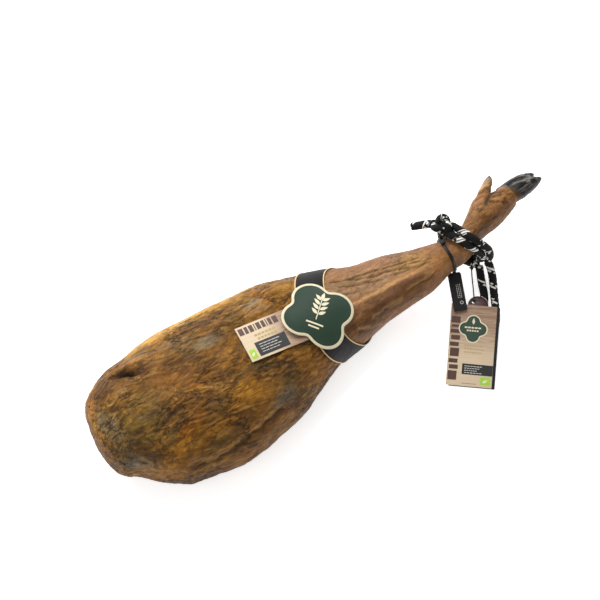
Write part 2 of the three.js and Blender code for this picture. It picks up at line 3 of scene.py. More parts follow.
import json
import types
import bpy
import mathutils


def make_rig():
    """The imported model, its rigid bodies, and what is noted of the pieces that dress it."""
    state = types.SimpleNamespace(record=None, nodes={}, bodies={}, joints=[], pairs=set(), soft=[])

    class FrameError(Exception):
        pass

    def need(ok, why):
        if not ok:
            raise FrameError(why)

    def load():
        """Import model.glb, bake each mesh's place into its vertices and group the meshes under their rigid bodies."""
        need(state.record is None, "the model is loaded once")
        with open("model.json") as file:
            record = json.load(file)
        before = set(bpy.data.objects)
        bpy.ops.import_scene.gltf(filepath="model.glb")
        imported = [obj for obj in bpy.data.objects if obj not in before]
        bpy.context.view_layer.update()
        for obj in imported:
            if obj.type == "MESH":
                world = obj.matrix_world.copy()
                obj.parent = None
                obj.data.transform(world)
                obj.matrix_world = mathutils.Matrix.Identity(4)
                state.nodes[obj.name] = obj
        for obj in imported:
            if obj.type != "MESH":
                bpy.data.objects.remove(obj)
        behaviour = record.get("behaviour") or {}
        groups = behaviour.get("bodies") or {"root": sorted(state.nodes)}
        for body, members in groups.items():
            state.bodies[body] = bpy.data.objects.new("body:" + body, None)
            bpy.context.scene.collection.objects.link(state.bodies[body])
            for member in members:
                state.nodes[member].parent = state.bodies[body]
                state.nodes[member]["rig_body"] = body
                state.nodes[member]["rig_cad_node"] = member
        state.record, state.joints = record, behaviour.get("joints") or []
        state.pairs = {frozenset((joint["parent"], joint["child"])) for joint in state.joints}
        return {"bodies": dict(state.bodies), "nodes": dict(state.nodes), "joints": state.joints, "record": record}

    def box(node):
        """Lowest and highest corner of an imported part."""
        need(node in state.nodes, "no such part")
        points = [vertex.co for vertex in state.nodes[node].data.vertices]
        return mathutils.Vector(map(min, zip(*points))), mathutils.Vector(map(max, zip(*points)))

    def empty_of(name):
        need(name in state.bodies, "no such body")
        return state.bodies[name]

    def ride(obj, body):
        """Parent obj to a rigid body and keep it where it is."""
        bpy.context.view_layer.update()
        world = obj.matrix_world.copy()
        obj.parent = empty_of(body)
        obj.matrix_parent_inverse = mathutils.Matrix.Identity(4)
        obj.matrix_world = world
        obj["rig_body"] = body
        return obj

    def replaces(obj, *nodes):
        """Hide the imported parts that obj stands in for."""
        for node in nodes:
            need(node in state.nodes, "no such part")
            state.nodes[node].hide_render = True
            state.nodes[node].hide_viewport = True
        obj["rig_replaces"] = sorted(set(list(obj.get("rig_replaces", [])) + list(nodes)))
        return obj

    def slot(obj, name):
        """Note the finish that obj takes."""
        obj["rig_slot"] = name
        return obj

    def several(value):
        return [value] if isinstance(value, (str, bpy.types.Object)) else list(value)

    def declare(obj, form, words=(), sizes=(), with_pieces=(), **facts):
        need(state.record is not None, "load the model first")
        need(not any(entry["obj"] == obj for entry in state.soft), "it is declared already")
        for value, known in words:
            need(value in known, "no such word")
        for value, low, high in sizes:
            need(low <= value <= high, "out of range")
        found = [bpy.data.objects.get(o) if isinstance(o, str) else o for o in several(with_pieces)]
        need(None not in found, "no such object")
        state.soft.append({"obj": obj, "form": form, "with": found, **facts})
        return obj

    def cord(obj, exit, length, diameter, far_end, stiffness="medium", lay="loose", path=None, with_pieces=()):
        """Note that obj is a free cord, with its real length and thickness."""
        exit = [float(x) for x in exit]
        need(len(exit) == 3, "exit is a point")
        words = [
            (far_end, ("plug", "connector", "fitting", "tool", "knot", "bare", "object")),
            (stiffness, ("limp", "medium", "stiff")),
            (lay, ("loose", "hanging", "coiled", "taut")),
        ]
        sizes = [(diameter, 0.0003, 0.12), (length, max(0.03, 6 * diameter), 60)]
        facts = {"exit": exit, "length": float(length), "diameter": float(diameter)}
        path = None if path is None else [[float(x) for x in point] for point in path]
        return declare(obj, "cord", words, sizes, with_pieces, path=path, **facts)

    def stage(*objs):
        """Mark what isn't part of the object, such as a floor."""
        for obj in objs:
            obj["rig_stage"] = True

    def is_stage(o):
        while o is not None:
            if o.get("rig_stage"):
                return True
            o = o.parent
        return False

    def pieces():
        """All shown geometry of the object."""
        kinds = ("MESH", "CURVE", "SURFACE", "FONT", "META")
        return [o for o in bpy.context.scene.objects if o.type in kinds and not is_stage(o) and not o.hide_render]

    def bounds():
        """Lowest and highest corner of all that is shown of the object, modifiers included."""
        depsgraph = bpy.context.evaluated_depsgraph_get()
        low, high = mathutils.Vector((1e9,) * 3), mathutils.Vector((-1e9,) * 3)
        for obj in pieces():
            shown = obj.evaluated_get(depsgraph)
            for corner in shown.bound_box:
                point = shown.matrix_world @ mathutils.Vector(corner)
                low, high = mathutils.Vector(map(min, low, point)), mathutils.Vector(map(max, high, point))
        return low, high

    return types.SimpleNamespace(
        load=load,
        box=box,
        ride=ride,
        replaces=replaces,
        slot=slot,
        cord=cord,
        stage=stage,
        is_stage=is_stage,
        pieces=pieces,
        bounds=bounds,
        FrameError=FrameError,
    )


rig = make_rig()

bl_info = {
    "name": "Cured Ham",
    "version": (1, 0, 0),
    "blender": (4, 5, 0),
    "location": "View3D > Sidebar > Cured Ham",
    "description": "Makes a whole cured ham with its band, badge, seal, rope and hang tags",
    "category": "Object",
}

import json
import math

import bmesh
import bpy
import numpy as np
from mathutils import Matrix, Vector
from mathutils.bvhtree import BVHTree
from mathutils.kdtree import KDTree

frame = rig.load()
CAD_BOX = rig.bounds()

MM = 0.001

# ---- Routes and places that the frame's solids have, in metres ----

LOOP_ROUTE = [
    (0.2175, -0.021, 0.030), (0.2185, -0.026, 0.0275), (0.2175, -0.035, 0.020), (0.214, -0.045, 0.011),
    (0.2095, -0.054, 0.0066), (0.204, -0.064, 0.0056), (0.198, -0.075, 0.0056),
    (0.1905, -0.087, 0.0056), (0.1805, -0.098, 0.0056), (0.168, -0.105, 0.0056),
    (0.154, -0.104, 0.0056), (0.1445, -0.095, 0.0056), (0.1445, -0.083, 0.0056),
    (0.154, -0.0745, 0.0056), (0.167, -0.0715, 0.0056), (0.180, -0.0675, 0.0056),
    (0.190, -0.060, 0.0056), (0.1965, -0.050, 0.0066), (0.200, -0.040, 0.011),
    (0.203, -0.031, 0.019), (0.2055, -0.024, 0.0245), (0.2065, -0.020, 0.0275),
]
STRING_ROUTE = [
    (0.198, -0.0145, 0.027), (0.197, -0.0175, 0.0252), (0.1946, -0.022, 0.0226),
    (0.191, -0.029, 0.0192), (0.187, -0.037, 0.0168), (0.183, -0.0445, 0.016),
    (0.1794, -0.0506, 0.0159), (0.176, -0.0556, 0.0156),
]
TAIL_ROUTE = [
    (0.178, 0.034, 0.083), (0.172, 0.040, 0.080), (0.165, 0.0465, 0.075), (0.158, 0.0525, 0.069),
    (0.1505, 0.0590, 0.063),
]
KNOT_CENTRE = (0.1785, 0.0315, 0.0835)
BRAID_DEPTH = 0.055  # how far the rope's strands stand out, as a share of its radius
BRAID_LENGTH = 0.007  # along the rope, for one turn of its surface's diamonds
LOOP_LENGTH = 0.257
STRING_LENGTH = 0.049
STRING_DIAMETER = 0.0018
DISC_CENTRE = (0.1775, -0.0635)
TAG_FOOT = (0.1065, -0.148, 0.0004)
TAG_HEADING = math.radians(52.6 - 90)
TAG_TILT = math.atan2(11.4, 58)
CARD_THICKNESS = 0.0009
CARD_GAP = 0.0004
BADGE_CENTRE = (-0.030, -0.001)
BADGE_TURN = math.radians(-9)
LABEL_CENTRE = (-0.093, 0.003)
LABEL_TURN = math.radians(-5)
FLAG_ROOT = (0.1703, -0.0143, 0.0382)
FLAG_END = (0.151, -0.061, 0.0252)

# Where the table is looked at, and from how far and how steeply.
VIEW_AZIMUTH = math.radians(-31.7)
VIEW_ELEVATION = math.radians(64)
VIEW_FROM = (-0.56872, -0.83124, 2.17363)
VIEW_LENS = 110.77


# ---- Colours ----


def to_linear(share):
    return share / 12.92 if share <= 0.04045 else ((share + 0.055) / 1.055) ** 2.4


def linear(text):
    """An sRGB hex colour as linear red, green, blue and 1."""
    return tuple(to_linear(int(text[i:i + 2], 16) / 255) for i in (1, 3, 5)) + (1.0,)


# ---- Noise and shape helpers on arrays of points, all in millimetres ----


def hashed(i, j, k, seed):
    h = (i * 374761393 + j * 668265263 + k * 1274126177 + seed * 974634777) & 0xFFFFFFFF
    h = ((h ^ (h >> 13)) * 1274126177) & 0xFFFFFFFF
    return (h ^ (h >> 16)) / 4294967295.0


def lattice_noise(points, size, seed):
    """Smooth noise from -1 to 1 whose cells have the given size along each axis."""
    scaled = points / np.asarray(size, float)
    cell = np.floor(scaled).astype(np.int64)
    t = scaled - cell
    t = t * t * t * (t * (t * 6 - 15) + 10)
    total = 0
    for dx in (0, 1):
        for dy in (0, 1):
            for dz in (0, 1):
                weight = (
                    (t[:, 0] if dx else 1 - t[:, 0])
                    * (t[:, 1] if dy else 1 - t[:, 1])
                    * (t[:, 2] if dz else 1 - t[:, 2])
                )
                total = total + weight * hashed(cell[:, 0] + dx, cell[:, 1] + dy, cell[:, 2] + dz, seed)
    return 2 * total - 1


def layered(points, size, seed, layers=3, gain=0.55):
    """Several octaves of noise on top of each other."""
    size = np.asarray(size, float)
    total, weight, sum_of = 0, 1.0, 0.0
    for n in range(layers):
        total = total + weight * lattice_noise(points + 37.7 * n, size / 2**n, seed + 11 * n)
        sum_of += weight
        weight *= gain
    return total / sum_of


def ramp(values, low, high):
    t = np.clip((values - low) / (high - low), 0, 1)
    return t * t * (3 - 2 * t)


def line_distance(plan, line):
    """For each point of the plan, how far it is from a line of points."""
    best = np.full(len(plan), 1e9)
    for a, b in zip(line[:-1], line[1:]):
        a, b = np.array(a, float), np.array(b, float)
        along = np.clip(((plan - a) @ (b - a)) / ((b - a) @ (b - a)), 0, 1)
        best = np.minimum(best, np.linalg.norm(plan - (a + along[:, None] * (b - a)), axis=1))
    return best


def spot(plan, centre, across, turn=0.0):
    """1 in the middle of an oval spot, falling smoothly to 0 outside it."""
    c, s = math.cos(math.radians(turn)), math.sin(math.radians(turn))
    d = plan - np.array(centre, float)
    u = (d[:, 0] * c + d[:, 1] * s) / across[0]
    v = (-d[:, 0] * s + d[:, 1] * c) / across[1]
    return np.exp(-(u * u + v * v))


# ---- Blender helpers ----


def activate(*pieces):
    """Selects the pieces alone and makes the first one active."""
    bpy.ops.object.select_all(action="DESELECT")
    for piece in pieces:
        piece.select_set(True)
    bpy.context.view_layer.objects.active = pieces[0]


def apply_modifier(piece, kind, **settings):
    activate(piece)
    modifier = piece.modifiers.new(kind.title(), kind)
    for key, value in settings.items():
        setattr(modifier, key, value)
    bpy.ops.object.modifier_apply(modifier=modifier.name)


def bevelled(piece, width, degrees):
    limit = math.radians(degrees)
    apply_modifier(piece, "BEVEL", width=width, segments=2, limit_method="ANGLE", angle_limit=limit)


def edited(piece, **operators):
    """Runs mesh operators, each with its settings, on the whole of a piece."""
    activate(piece)
    bpy.ops.object.mode_set(mode="EDIT")
    bpy.ops.mesh.select_all(action="SELECT")
    for name, settings in operators.items():
        getattr(bpy.ops.mesh, name)(**settings)
    bpy.ops.object.mode_set(mode="OBJECT")
    return piece


def copy_of(solid, name, material):
    """A merged copy of a CAD node's mesh as a piece of its own."""
    piece = bpy.data.objects.new(name, frame["nodes"][solid].data.copy())
    piece.data.name = name
    bpy.context.scene.collection.objects.link(piece)
    piece.data.materials.clear()
    piece.data.materials.append(bpy.data.materials[material])
    return edited(piece, remove_doubles={"threshold": 0.00002})


def piece_from(name, verts, faces, materials, slots=None, smooth=True):
    mesh = bpy.data.meshes.new(name)
    mesh.from_pydata([tuple(v) for v in verts], [], faces)
    mesh.update()
    piece = bpy.data.objects.new(name, mesh)
    bpy.context.scene.collection.objects.link(piece)
    for material in materials:
        mesh.materials.append(bpy.data.materials[material])
    if slots is not None:
        mesh.polygons.foreach_set("material_index", slots)
    mesh.polygons.foreach_set("use_smooth", [smooth] * len(faces))
    return piece


def settle(piece, solid, slot, smooth_below=None):
    """The piece rides with the ham, stands for a CAD node and takes its finish; sharp edges stay sharp."""
    if smooth_below:
        activate(piece)
        bpy.ops.object.shade_smooth_by_angle(angle=math.radians(smooth_below))
    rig.ride(piece, "root")
    if solid:
        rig.replaces(piece, solid)
    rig.slot(piece, slot)


def triples(collection, key):
    """One vector of each item of a mesh, as rows of an array."""
    flat = np.empty(len(collection) * 3)
    collection.foreach_get(key, flat)
    return flat.reshape(-1, 3)


def tree_of(piece):
    mesh = piece.data
    return BVHTree.FromPolygons([v.co for v in mesh.vertices], [p.vertices[:] for p in mesh.polygons])


# ---- Materials ----


def node(tree, kind, inputs=(), **settings):
    """Adds a node with its settings, feeds each input from a socket or a value, and gives its outputs."""
    made = tree.nodes.new("ShaderNode" + kind)
    for key, value in settings.items():
        setattr(made, key, value)
    for key, value in inputs.items() if isinstance(inputs, dict) else enumerate(inputs):
        if isinstance(value, bpy.types.NodeSocket):
            tree.links.new(value, made.inputs[key])
        else:
            made.inputs[key].default_value = value
    return made.outputs


def finish_of(name, **values):
    """A new material with its shader's constant values set on the shader itself."""
    material = bpy.data.materials.new(name)
    material.use_nodes = True
    for key, value in values.items():
        material.node_tree.nodes["Principled BSDF"].inputs[key.replace("_", " ")].default_value = value
    return material, material.node_tree


def fed(material, **sources):
    """The material, once its shader's inputs are fed from sockets."""
    tree = material.node_tree
    for key, source in sources.items():
        tree.links.new(source, tree.nodes["Principled BSDF"].inputs[key.replace("_", " ")])
    return material


def mottled(name, colour, shade, size, bump, bump_size, **values):
    """Two colours in soft patches of one size in millimetres, with a fine bump of another."""
    material, tree = finish_of(name, **values)
    place = node(tree, "TexCoord")["Object"]
    soft = {"Scale": 1 / (size * MM), "Detail": 4.0, "Roughness": 0.6, "Vector": place}
    patches = node(tree, "TexNoise", soft)["Fac"]
    mixed = node(tree, "Mix", {0: patches, 6: linear(colour), 7: linear(shade)}, data_type="RGBA")[2]
    grain = node(tree, "TexNoise", {"Scale": 1 / (bump_size * MM), "Detail": 3.0, "Vector": place})["Fac"]
    raised = node(tree, "Bump", {"Strength": 0.6, "Distance": bump * MM, "Height": grain})[0]
    return fed(material, Base_Color=mixed, Normal=raised)


def cured_rind():
    # Dry-cured rind and fat with mould bloom: mottled, half dull and half greasy, finely fibrous.
    material, tree = finish_of("cured_rind", IOR=1.45, Specular_IOR_Level=0.22)
    place = node(tree, "TexCoord")["Object"]
    painted, horn, fibrous = (node(tree, "Attribute", attribute_name=n) for n in ("rind", "horn", "fibrous"))
    swirl = node(tree, "TexNoise", {"Scale": 17.0, "Detail": 2.0, "Vector": place})
    reach = (30 * MM, 22 * MM, 22 * MM)
    turned = node(tree, "VectorMath", (swirl["Color"], reach, place), operation="MULTIPLY_ADD")[0]
    # fibres about 3 mm wide and 8 mm long, and folds about 8 mm wide and 21 mm long, both drawn
    # coarser than the real ones so that they show
    fibres, folds = (
        node(
            tree, "TexNoise",
            {
                "Scale": 1.0, "Detail": detail, "Roughness": rough, "Distortion": bent,
                "Vector": node(tree, "Mapping", {"Scale": scale, "Vector": turned})[0],
            },
        )["Fac"]
        for scale, detail, rough, bent in (((130, 380, 380), 6.0, 0.68, 0.5), ((48, 120, 120), 5.0, 0.6, 0.8))
    )
    # fissures: thin dark lines along the folds, which come and go
    aside = node(tree, "Math", (folds, 0.5), operation="SUBTRACT")[0]
    off = node(tree, "Math", (aside,), operation="ABSOLUTE")[0]
    fissure = node(tree, "MapRange", (off, 0.0, 0.05, 0.2, 1.0))[0]
    only_here = node(tree, "MapRange", (swirl["Fac"], 0.42, 0.53, 0.15, 1.0))[0]
    furrow = node(tree, "Mix", {0: only_here, 2: 1.0, 3: fissure}, data_type="FLOAT")[0]
    specks = node(tree, "TexNoise", {"Scale": 700.0, "Detail": 2.0, "Roughness": 0.7, "Vector": place})["Fac"]
    shade = node(tree, "MapRange", (fibres, 0.33, 0.67, 0.42, 1.5))[0]
    fleck = node(tree, "MapRange", (specks, 0.3, 0.7, 0.86, 1.12))[0]
    both = node(tree, "Math", (shade, fleck), operation="MULTIPLY")[0]
    furrowed = node(tree, "Math", (both, furrow), operation="MULTIPLY")[0]
    here = node(tree, "Mix", {0: fibrous["Fac"], 2: 1.0, 3: furrowed}, data_type="FLOAT")[0]
    toned = node(tree, "VectorMath", {0: painted["Color"], "Scale": here}, operation="SCALE")[0]
    greasy = node(tree, "TexNoise", {"Scale": 60.0, "Detail": 4.0, "Roughness": 0.65, "Vector": place})["Fac"]
    dull = node(tree, "MapRange", (greasy, 0.35, 0.68, 0.62, 0.42))[0]
    gloss = node(tree, "Mix", {0: horn["Fac"], 2: dull, 3: 0.36}, data_type="FLOAT")[0]
    height = node(tree, "Math", (furrow, 0.5, fibres), operation="MULTIPLY_ADD")[0]
    raised = node(tree, "Bump", {"Strength": fibrous["Fac"], "Distance": 1.6 * MM, "Height": height})[0]
    return fed(material, Base_Color=toned, Roughness=gloss, Normal=raised)


def braided_rope():
    # Braided polyester rope: soft and matt, black yarn with pairs of white tracer strands.
    material, tree = finish_of("braided_polyester_rope", Roughness=0.78, Specular_IOR_Level=0.25)
    lie = node(tree, "UVMap", uv_map="run")[0]
    parts = node(tree, "SeparateXYZ", (lie,))
    # run goes in metres along the rope and round once round it; a pick is 4.6 mm long, 5 strands go
    # round, and the white tracers come up in short groups, one every 24 mm
    step = {"run": parts[0], "round": parts[1]}
    for name, operation, first, second in (
        ("pick", "MULTIPLY", "run", 1 / (4.6 * MM)),
        ("turn", "MULTIPLY", "round", 5.0),
        ("one", "ADD", "pick", "turn"),
        ("other", "SUBTRACT", "pick", "turn"),
        ("column", "FLOOR", "one", 0.0),
        ("row", "FLOOR", "other", 0.0),
        ("ahead", "MULTIPLY", "run", 1 / (24.0 * MM)),
        ("across", "MULTIPLY", "round", 0.8),
        ("wound", "ADD", "ahead", "across"),
        ("phase", "FRACT", "wound", 0.0),
        ("grouped", "LESS_THAN", "phase", 0.36),
        ("within", "FRACT", "one", 0.0),
        ("middle", "SUBTRACT", "within", 0.5),
        ("side", "ABSOLUTE", "middle", 0.0),
        ("slim", "LESS_THAN", "side", 0.34),
    ):
        step[name] = node(tree, "Math", (step[first], step.get(second, second)), operation=operation)[0]
    cells = node(tree, "CombineXYZ", (step["column"], step["row"]))[0]
    chance = node(tree, "TexWhiteNoise", {"Vector": cells}, noise_dimensions="3D")["Value"]
    lucky = node(tree, "Math", (chance, 0.42), operation="GREATER_THAN")[0]
    shown = node(tree, "Math", (step["grouped"], lucky), operation="MULTIPLY")[0]
    white = node(tree, "Math", (shown, step["slim"]), operation="MULTIPLY")[0]
    yarn = node(tree, "Mix", {0: white, 6: linear("#0a0a0b"), 7: linear("#e4e1da")}, data_type="RGBA")[2]
    # hairs of the yarn, about 1 mm apart along the rope
    fuzz = node(tree, "Mapping", {"Scale": (900, 40, 1), "Vector": lie})[0]
    hair = node(tree, "TexNoise", {"Scale": 1.0, "Detail": 2.0, "Vector": fuzz}, noise_dimensions="2D")["Fac"]
    raised = node(tree, "Bump", {"Strength": 0.5, "Distance": 0.4 * MM, "Height": hair})[0]
    return fed(material, Base_Color=yarn, Normal=raised)


def satin_ribbon():
    # Woven satin ribbon: black, with a soft sheen across its fine ribs and gilt threads at both edges.
    material, tree = finish_of("woven_satin_ribbon", Specular_IOR_Level=0.2)
    place = node(tree, "TexCoord")["Object"]
    edge = node(tree, "Attribute", attribute_name="edge_mm")["Fac"]
    gilt = node(tree, "MapRange", (edge, 1.1, 1.5, 1.0, 0.0))[0]
    weave = node(tree, "TexNoise", {"Scale": 500.0, "Detail": 2.0, "Vector": place})["Fac"]
    black = node(tree, "Mix", {0: weave, 6: linear("#0a090a"), 7: linear("#121012")}, data_type="RGBA")[2]
    mixed = node(tree, "Mix", {0: gilt, 6: black, 7: linear("#d9bd86")}, data_type="RGBA")[2]
    dull = node(tree, "Mix", {0: gilt, 2: 0.55, 3: 0.4}, data_type="FLOAT")[0]
    # ribs 1.6 mm apart, much coarser than real ones so that they show
    wavy = {"Scale": 200.0, "Distortion": 0.4, "Vector": place}
    ribs = node(tree, "TexWave", wavy, wave_type="BANDS", bands_direction="X")["Fac"]
    raised = node(tree, "Bump", {"Strength": 0.25, "Distance": 0.2 * MM, "Height": ribs})[0]
    return fed(material, Base_Color=mixed, Roughness=dull, Normal=raised)


def wood_print(name, turn, origin, pale, dark, axis, fade_from, fade_to):
    """Uncoated board printed with sawn wood grain that fades to cream along one direction."""
    material, tree = finish_of(name, Roughness=0.62)
    place = node(tree, "TexCoord")["Object"]
    frame_of_card = {"Vector": place, "Location": origin, "Rotation": (0, 0, turn)}
    local = node(tree, "Mapping", frame_of_card, vector_type="TEXTURE")[0]
    # grain lines about 2 mm apart and 40 mm long
    drawn = node(tree, "Mapping", {"Scale": (26, 420, 1), "Vector": local})[0]
    lines = {"Scale": 1.0, "Detail": 5.0, "Roughness": 0.65, "Distortion": 0.5, "Vector": drawn}
    bands = node(tree, "MapRange", (node(tree, "TexNoise", lines)["Fac"], 0.34, 0.66))[0]
    along = node(tree, "SeparateXYZ", (local,))[axis]
    ends = (along, fade_from, fade_to, 0.12, 1.0)
    fade = node(tree, "MapRange", ends, interpolation_type="SMOOTHSTEP")[0]
    amount = node(tree, "Math", (bands, fade), operation="MULTIPLY")[0]
    washed = node(tree, "Mix", {0: fade, 6: linear("#ddc8a8"), 7: linear(pale)}, data_type="RGBA")[2]
    mixed = node(tree, "Mix", {0: amount, 6: washed, 7: linear(dark)}, data_type="RGBA")[2]
    tooth = node(tree, "TexNoise", {"Scale": 1400.0, "Detail": 2.0, "Vector": place})["Fac"]
    raised = node(tree, "Bump", {"Strength": 0.2, "Distance": 0.1 * MM, "Height": tooth})[0]
    return fed(material, Base_Color=mixed, Normal=raised)


# The flat inks that the labels are printed with: two colours each.
INKS = {
    "cream_ink": ("#e6dcc0", "#dccfae"),
    "pale_gold_ink": ("#b9a168", "#a58d56"),
    "brown_ink": ("#452a1e", "#56382a"),
    "black_ink": ("#121111", "#1a1918"),
    "white_ink": ("#c9c6be", "#b8b4aa"),
    "leaf_green_ink": ("#8fc31a", "#9ccc2c"),
    "bottle_green_ink": ("#223a2b", "#2a4532"),
}


def make_materials():
    cured_rind()
    braided_rope()
    satin_ribbon()
    # Waxed cotton string: near black, slightly shiny twist.
    mottled("waxed_cotton_string", "#101012", "#1c1c1e", 1.0, 0.2, 0.4, Roughness=0.55)
    # Moulded polypropylene: smooth, with a soft gloss.
    gloss = {"Roughness": 0.45, "Specular_IOR_Level": 0.3}
    mottled("moulded_seal_plastic", "#0b0b0c", "#121214", 8.0, 0.05, 1.2, **gloss)
    mottled("moulded_disc_plastic", "#47231c", "#3a1a16", 8.0, 0.08, 1.0, Roughness=0.38)
    # Coated board: even ink under a dull varnish.
    mottled("coated_black_board", "#151413", "#0f0e0e", 10.0, 0.05, 1.0, Roughness=0.5)
    mottled("cream_rim_board", "#d8cfb2", "#cbbf9c", 5.0, 0.06, 1.0, Roughness=0.5)
    varnish = {"Roughness": 0.42, "Specular_IOR_Level": 0.35}
    mottled("green_field_board", "#223a2b", "#1b3022", 18.0, 0.05, 1.0, **varnish)
    for name, (colour, shade) in INKS.items():
        mottled(name, colour, shade, 6.0, 0.05, 0.8, Roughness=0.55)
    wood_print("label_wood_print", LABEL_TURN, (*LABEL_CENTRE, 0), "#a88a72", "#735343", 0, -0.012, 0.034)
    wood_print("tag_wood_print", TAG_HEADING, TAG_FOOT, "#b1937a", "#80604a", 1, 0.03, 0.095)


# ---- Tubes ----


def walls(rings, count, base=0):
    """The faces between rings that have the same count of vertices and follow one another."""
    faces = []
    for low in range(base, base + (rings - 1) * count, count):
        for j in range(count):
            k = (j + 1) % count
            faces.append((low + j, low + k, low + count + k, low + count + j))
    return faces


def smooth_line(points, step):
    """A smooth line through the points, as evenly spaced points a step apart."""
    p = np.array(points, float)
    p = np.vstack([2 * p[0] - p[1], p, 2 * p[-1] - p[-2]])
    dense = []
    for i in range(1, len(p) - 2):
        knots = [0.0]
        for a, b in zip(p[i - 1:i + 2], p[i:i + 3]):
            knots.append(knots[-1] + max(np.linalg.norm(b - a), 1e-9) ** 0.5)
        t0, t1, t2, t3 = knots
        for t in np.linspace(t1, t2, 24, endpoint=i == len(p) - 3):
            a1 = (t1 - t) / (t1 - t0) * p[i - 1] + (t - t0) / (t1 - t0) * p[i]
            a2 = (t2 - t) / (t2 - t1) * p[i] + (t - t1) / (t2 - t1) * p[i + 1]
            a3 = (t3 - t) / (t3 - t2) * p[i + 1] + (t - t2) / (t3 - t2) * p[i + 2]
            b1 = (t2 - t) / (t2 - t0) * a1 + (t - t0) / (t2 - t0) * a2
            b2 = (t3 - t) / (t3 - t1) * a2 + (t - t1) / (t3 - t1) * a3
            dense.append((t2 - t) / (t2 - t1) * b1 + (t - t1) / (t2 - t1) * b2)
    dense = np.array(dense)
    run = np.concatenate([[0], np.cumsum(np.linalg.norm(np.diff(dense, axis=0), axis=1))])
    count = max(8, int(round(run[-1] / step)))
    wanted = np.linspace(0, run[-1], count + 1)
    return np.stack([np.interp(wanted, run, dense[:, k]) for k in range(3)], axis=1), wanted


def tube(name, points, radius, sides, step, material, braid=0.0, lumps=0.0, seed=1, start_run=0.0):
    """A round tube along a line, with a braid's diamonds in its surface and a UV map named run."""
    line, run = smooth_line(points, step)
    tangent = np.gradient(line, axis=0)
    tangent /= np.linalg.norm(tangent, axis=1)[:, None]
    normal = np.cross(tangent[0], (0.0, 0.0, 1.0))
    if np.linalg.norm(normal) < 0.2:
        normal = np.cross(tangent[0], (1.0, 0.0, 0.0))
    frames = []
    for t in tangent:
        normal = normal - t * (normal @ t)
        normal /= np.linalg.norm(normal)
        frames.append((normal.copy(), np.cross(t, normal)))
    verts, uv = [], []
    for i, (centre, (n, b)) in enumerate(zip(line, frames)):
        end = min(run[i], run[-1] - run[i])
        closing = math.sqrt(max(0.0, 1 - max(0.0, 1 - end / (0.5 * radius)) ** 2))
        wave = 1 + lumps * math.sin(run[i] * 190 + seed) * math.sin(run[i] * 83 + 2.1 * seed)
        for j in range(sides):
            angle = 2 * math.pi * j / sides
            u, v = run[i] / BRAID_LENGTH, 5 * j / sides
            cross = max(math.cos(2 * math.pi * (u + v)), math.cos(2 * math.pi * (u - v)))
            r = radius * (0.35 + 0.65 * closing) * wave * (1 + braid * (cross - 0.6))
            verts.append(centre + r * (math.cos(angle) * n + math.sin(angle) * b))
    rings = len(line)
    faces = walls(rings, sides)
    for i in range(rings - 1):
        for j in range(sides):
            u0, u1 = run[i] + start_run, run[i + 1] + start_run
            v0, v1 = j / sides, (j + 1) / sides
            uv.extend([(u0, v0), (u0, v1), (u1, v1), (u1, v0)])
    for i, flip in ((0, True), (rings - 1, False)):
        verts.append(line[i])
        hub = len(verts) - 1
        for j in range(sides):
            k = (j + 1) % sides
            a, c = i * sides + j, i * sides + k
            faces.append((hub, c, a) if flip else (hub, a, c))
            uv.extend([(run[i] + start_run, j / sides)] * 3)
    piece = piece_from(name, verts, faces, [material])
    layer = piece.data.uv_layers.new(name="run")
    layer.data.foreach_set("uv", [c for pair in uv for c in pair])
    return edited(piece, normals_make_consistent={"inside": False}), line


def joined(pieces, name):
    """Several pieces made into one, under one name."""
    activate(*pieces)
    bpy.ops.object.join()
    pieces[0].name = name
    pieces[0].data.name = name
    return pieces[0]


# ---- Printed shapes laid on a card ----


class Print:
    """Thin closed shapes of ink on a card's upper face, gathered into one mesh."""

    def __init__(self, place):
        self.place = place
        self.verts, self.faces, self.slots, self.used = [], [], [], []

    def shape(self, outline, ink, lift=0.10, thick=0.08):
        """One star-shaped outline in the card's own millimetres, filled with one ink."""
        if ink not in self.used:
            self.used.append(ink)
        slot = self.used.index(ink)
        outline = np.array(outline, float)
        centre = outline.mean(axis=0)
        base = len(self.verts)
        count = len(outline)
        layers = [(0.34, 0.0), (0.67, 0.0), (1.0, 0.0), (1.0, thick), (0.67, thick), (0.34, thick)]
        for share, up in layers:
            for point in centre + share * (outline - centre):
                self.verts.append(self.place(point[0], point[1], lift + up))
        self.verts.append(self.place(centre[0], centre[1], lift))
        self.verts.append(self.place(centre[0], centre[1], lift + thick))
        made = walls(len(layers), count, base)
        low, high = base + len(layers) * count, base + len(layers) * count + 1
        last = base + (len(layers) - 1) * count
        for j in range(count):
            k = (j + 1) % count
            made.append((low, base + k, base + j))
            made.append((high, last + j, last + k))
        self.faces.extend(made)
        self.slots.extend([slot] * len(made))

    def bar(self, left, low, right, high, ink, lift=0.10, pieces=1, gap=0.0, turn=False):
        """A rectangle, or a row of blocks with small gaps that stands in for a line of print."""
        for n in range(pieces):
            if turn:
                size = (high - low) / pieces
                box = (left, low + n * size, right, low + (n + 1) * size - gap)
            else:
                size = (right - left) / pieces
                box = (left + n * size, low, left + (n + 1) * size - gap, high)
            self.shape(rectangle(*box), ink, lift)

    def piece(self, name, slot):
        """The print as a piece of its own, with the card's finish."""
        made = piece_from(name, self.verts, self.faces, self.used, self.slots, smooth=False)
        settle(edited(made, normals_make_consistent={"inside": False}), None, slot)


def circle(x, y, radius, steps=16):
    turns = np.linspace(0, 2 * math.pi, steps + 1)[:-1]
    return [(x + radius * math.cos(t), y + radius * math.sin(t)) for t in turns]


def rectangle(left, low, right, high, steps=5):
    corners = [(left, low), (right, low), (right, high), (left, high)]
    points = []
    for (x0, y0), (x1, y1) in zip(corners, corners[1:] + corners[:1]):
        points.extend((x0 + (x1 - x0) * k / steps, y0 + (y1 - y0) * k / steps) for k in range(steps))
    return points


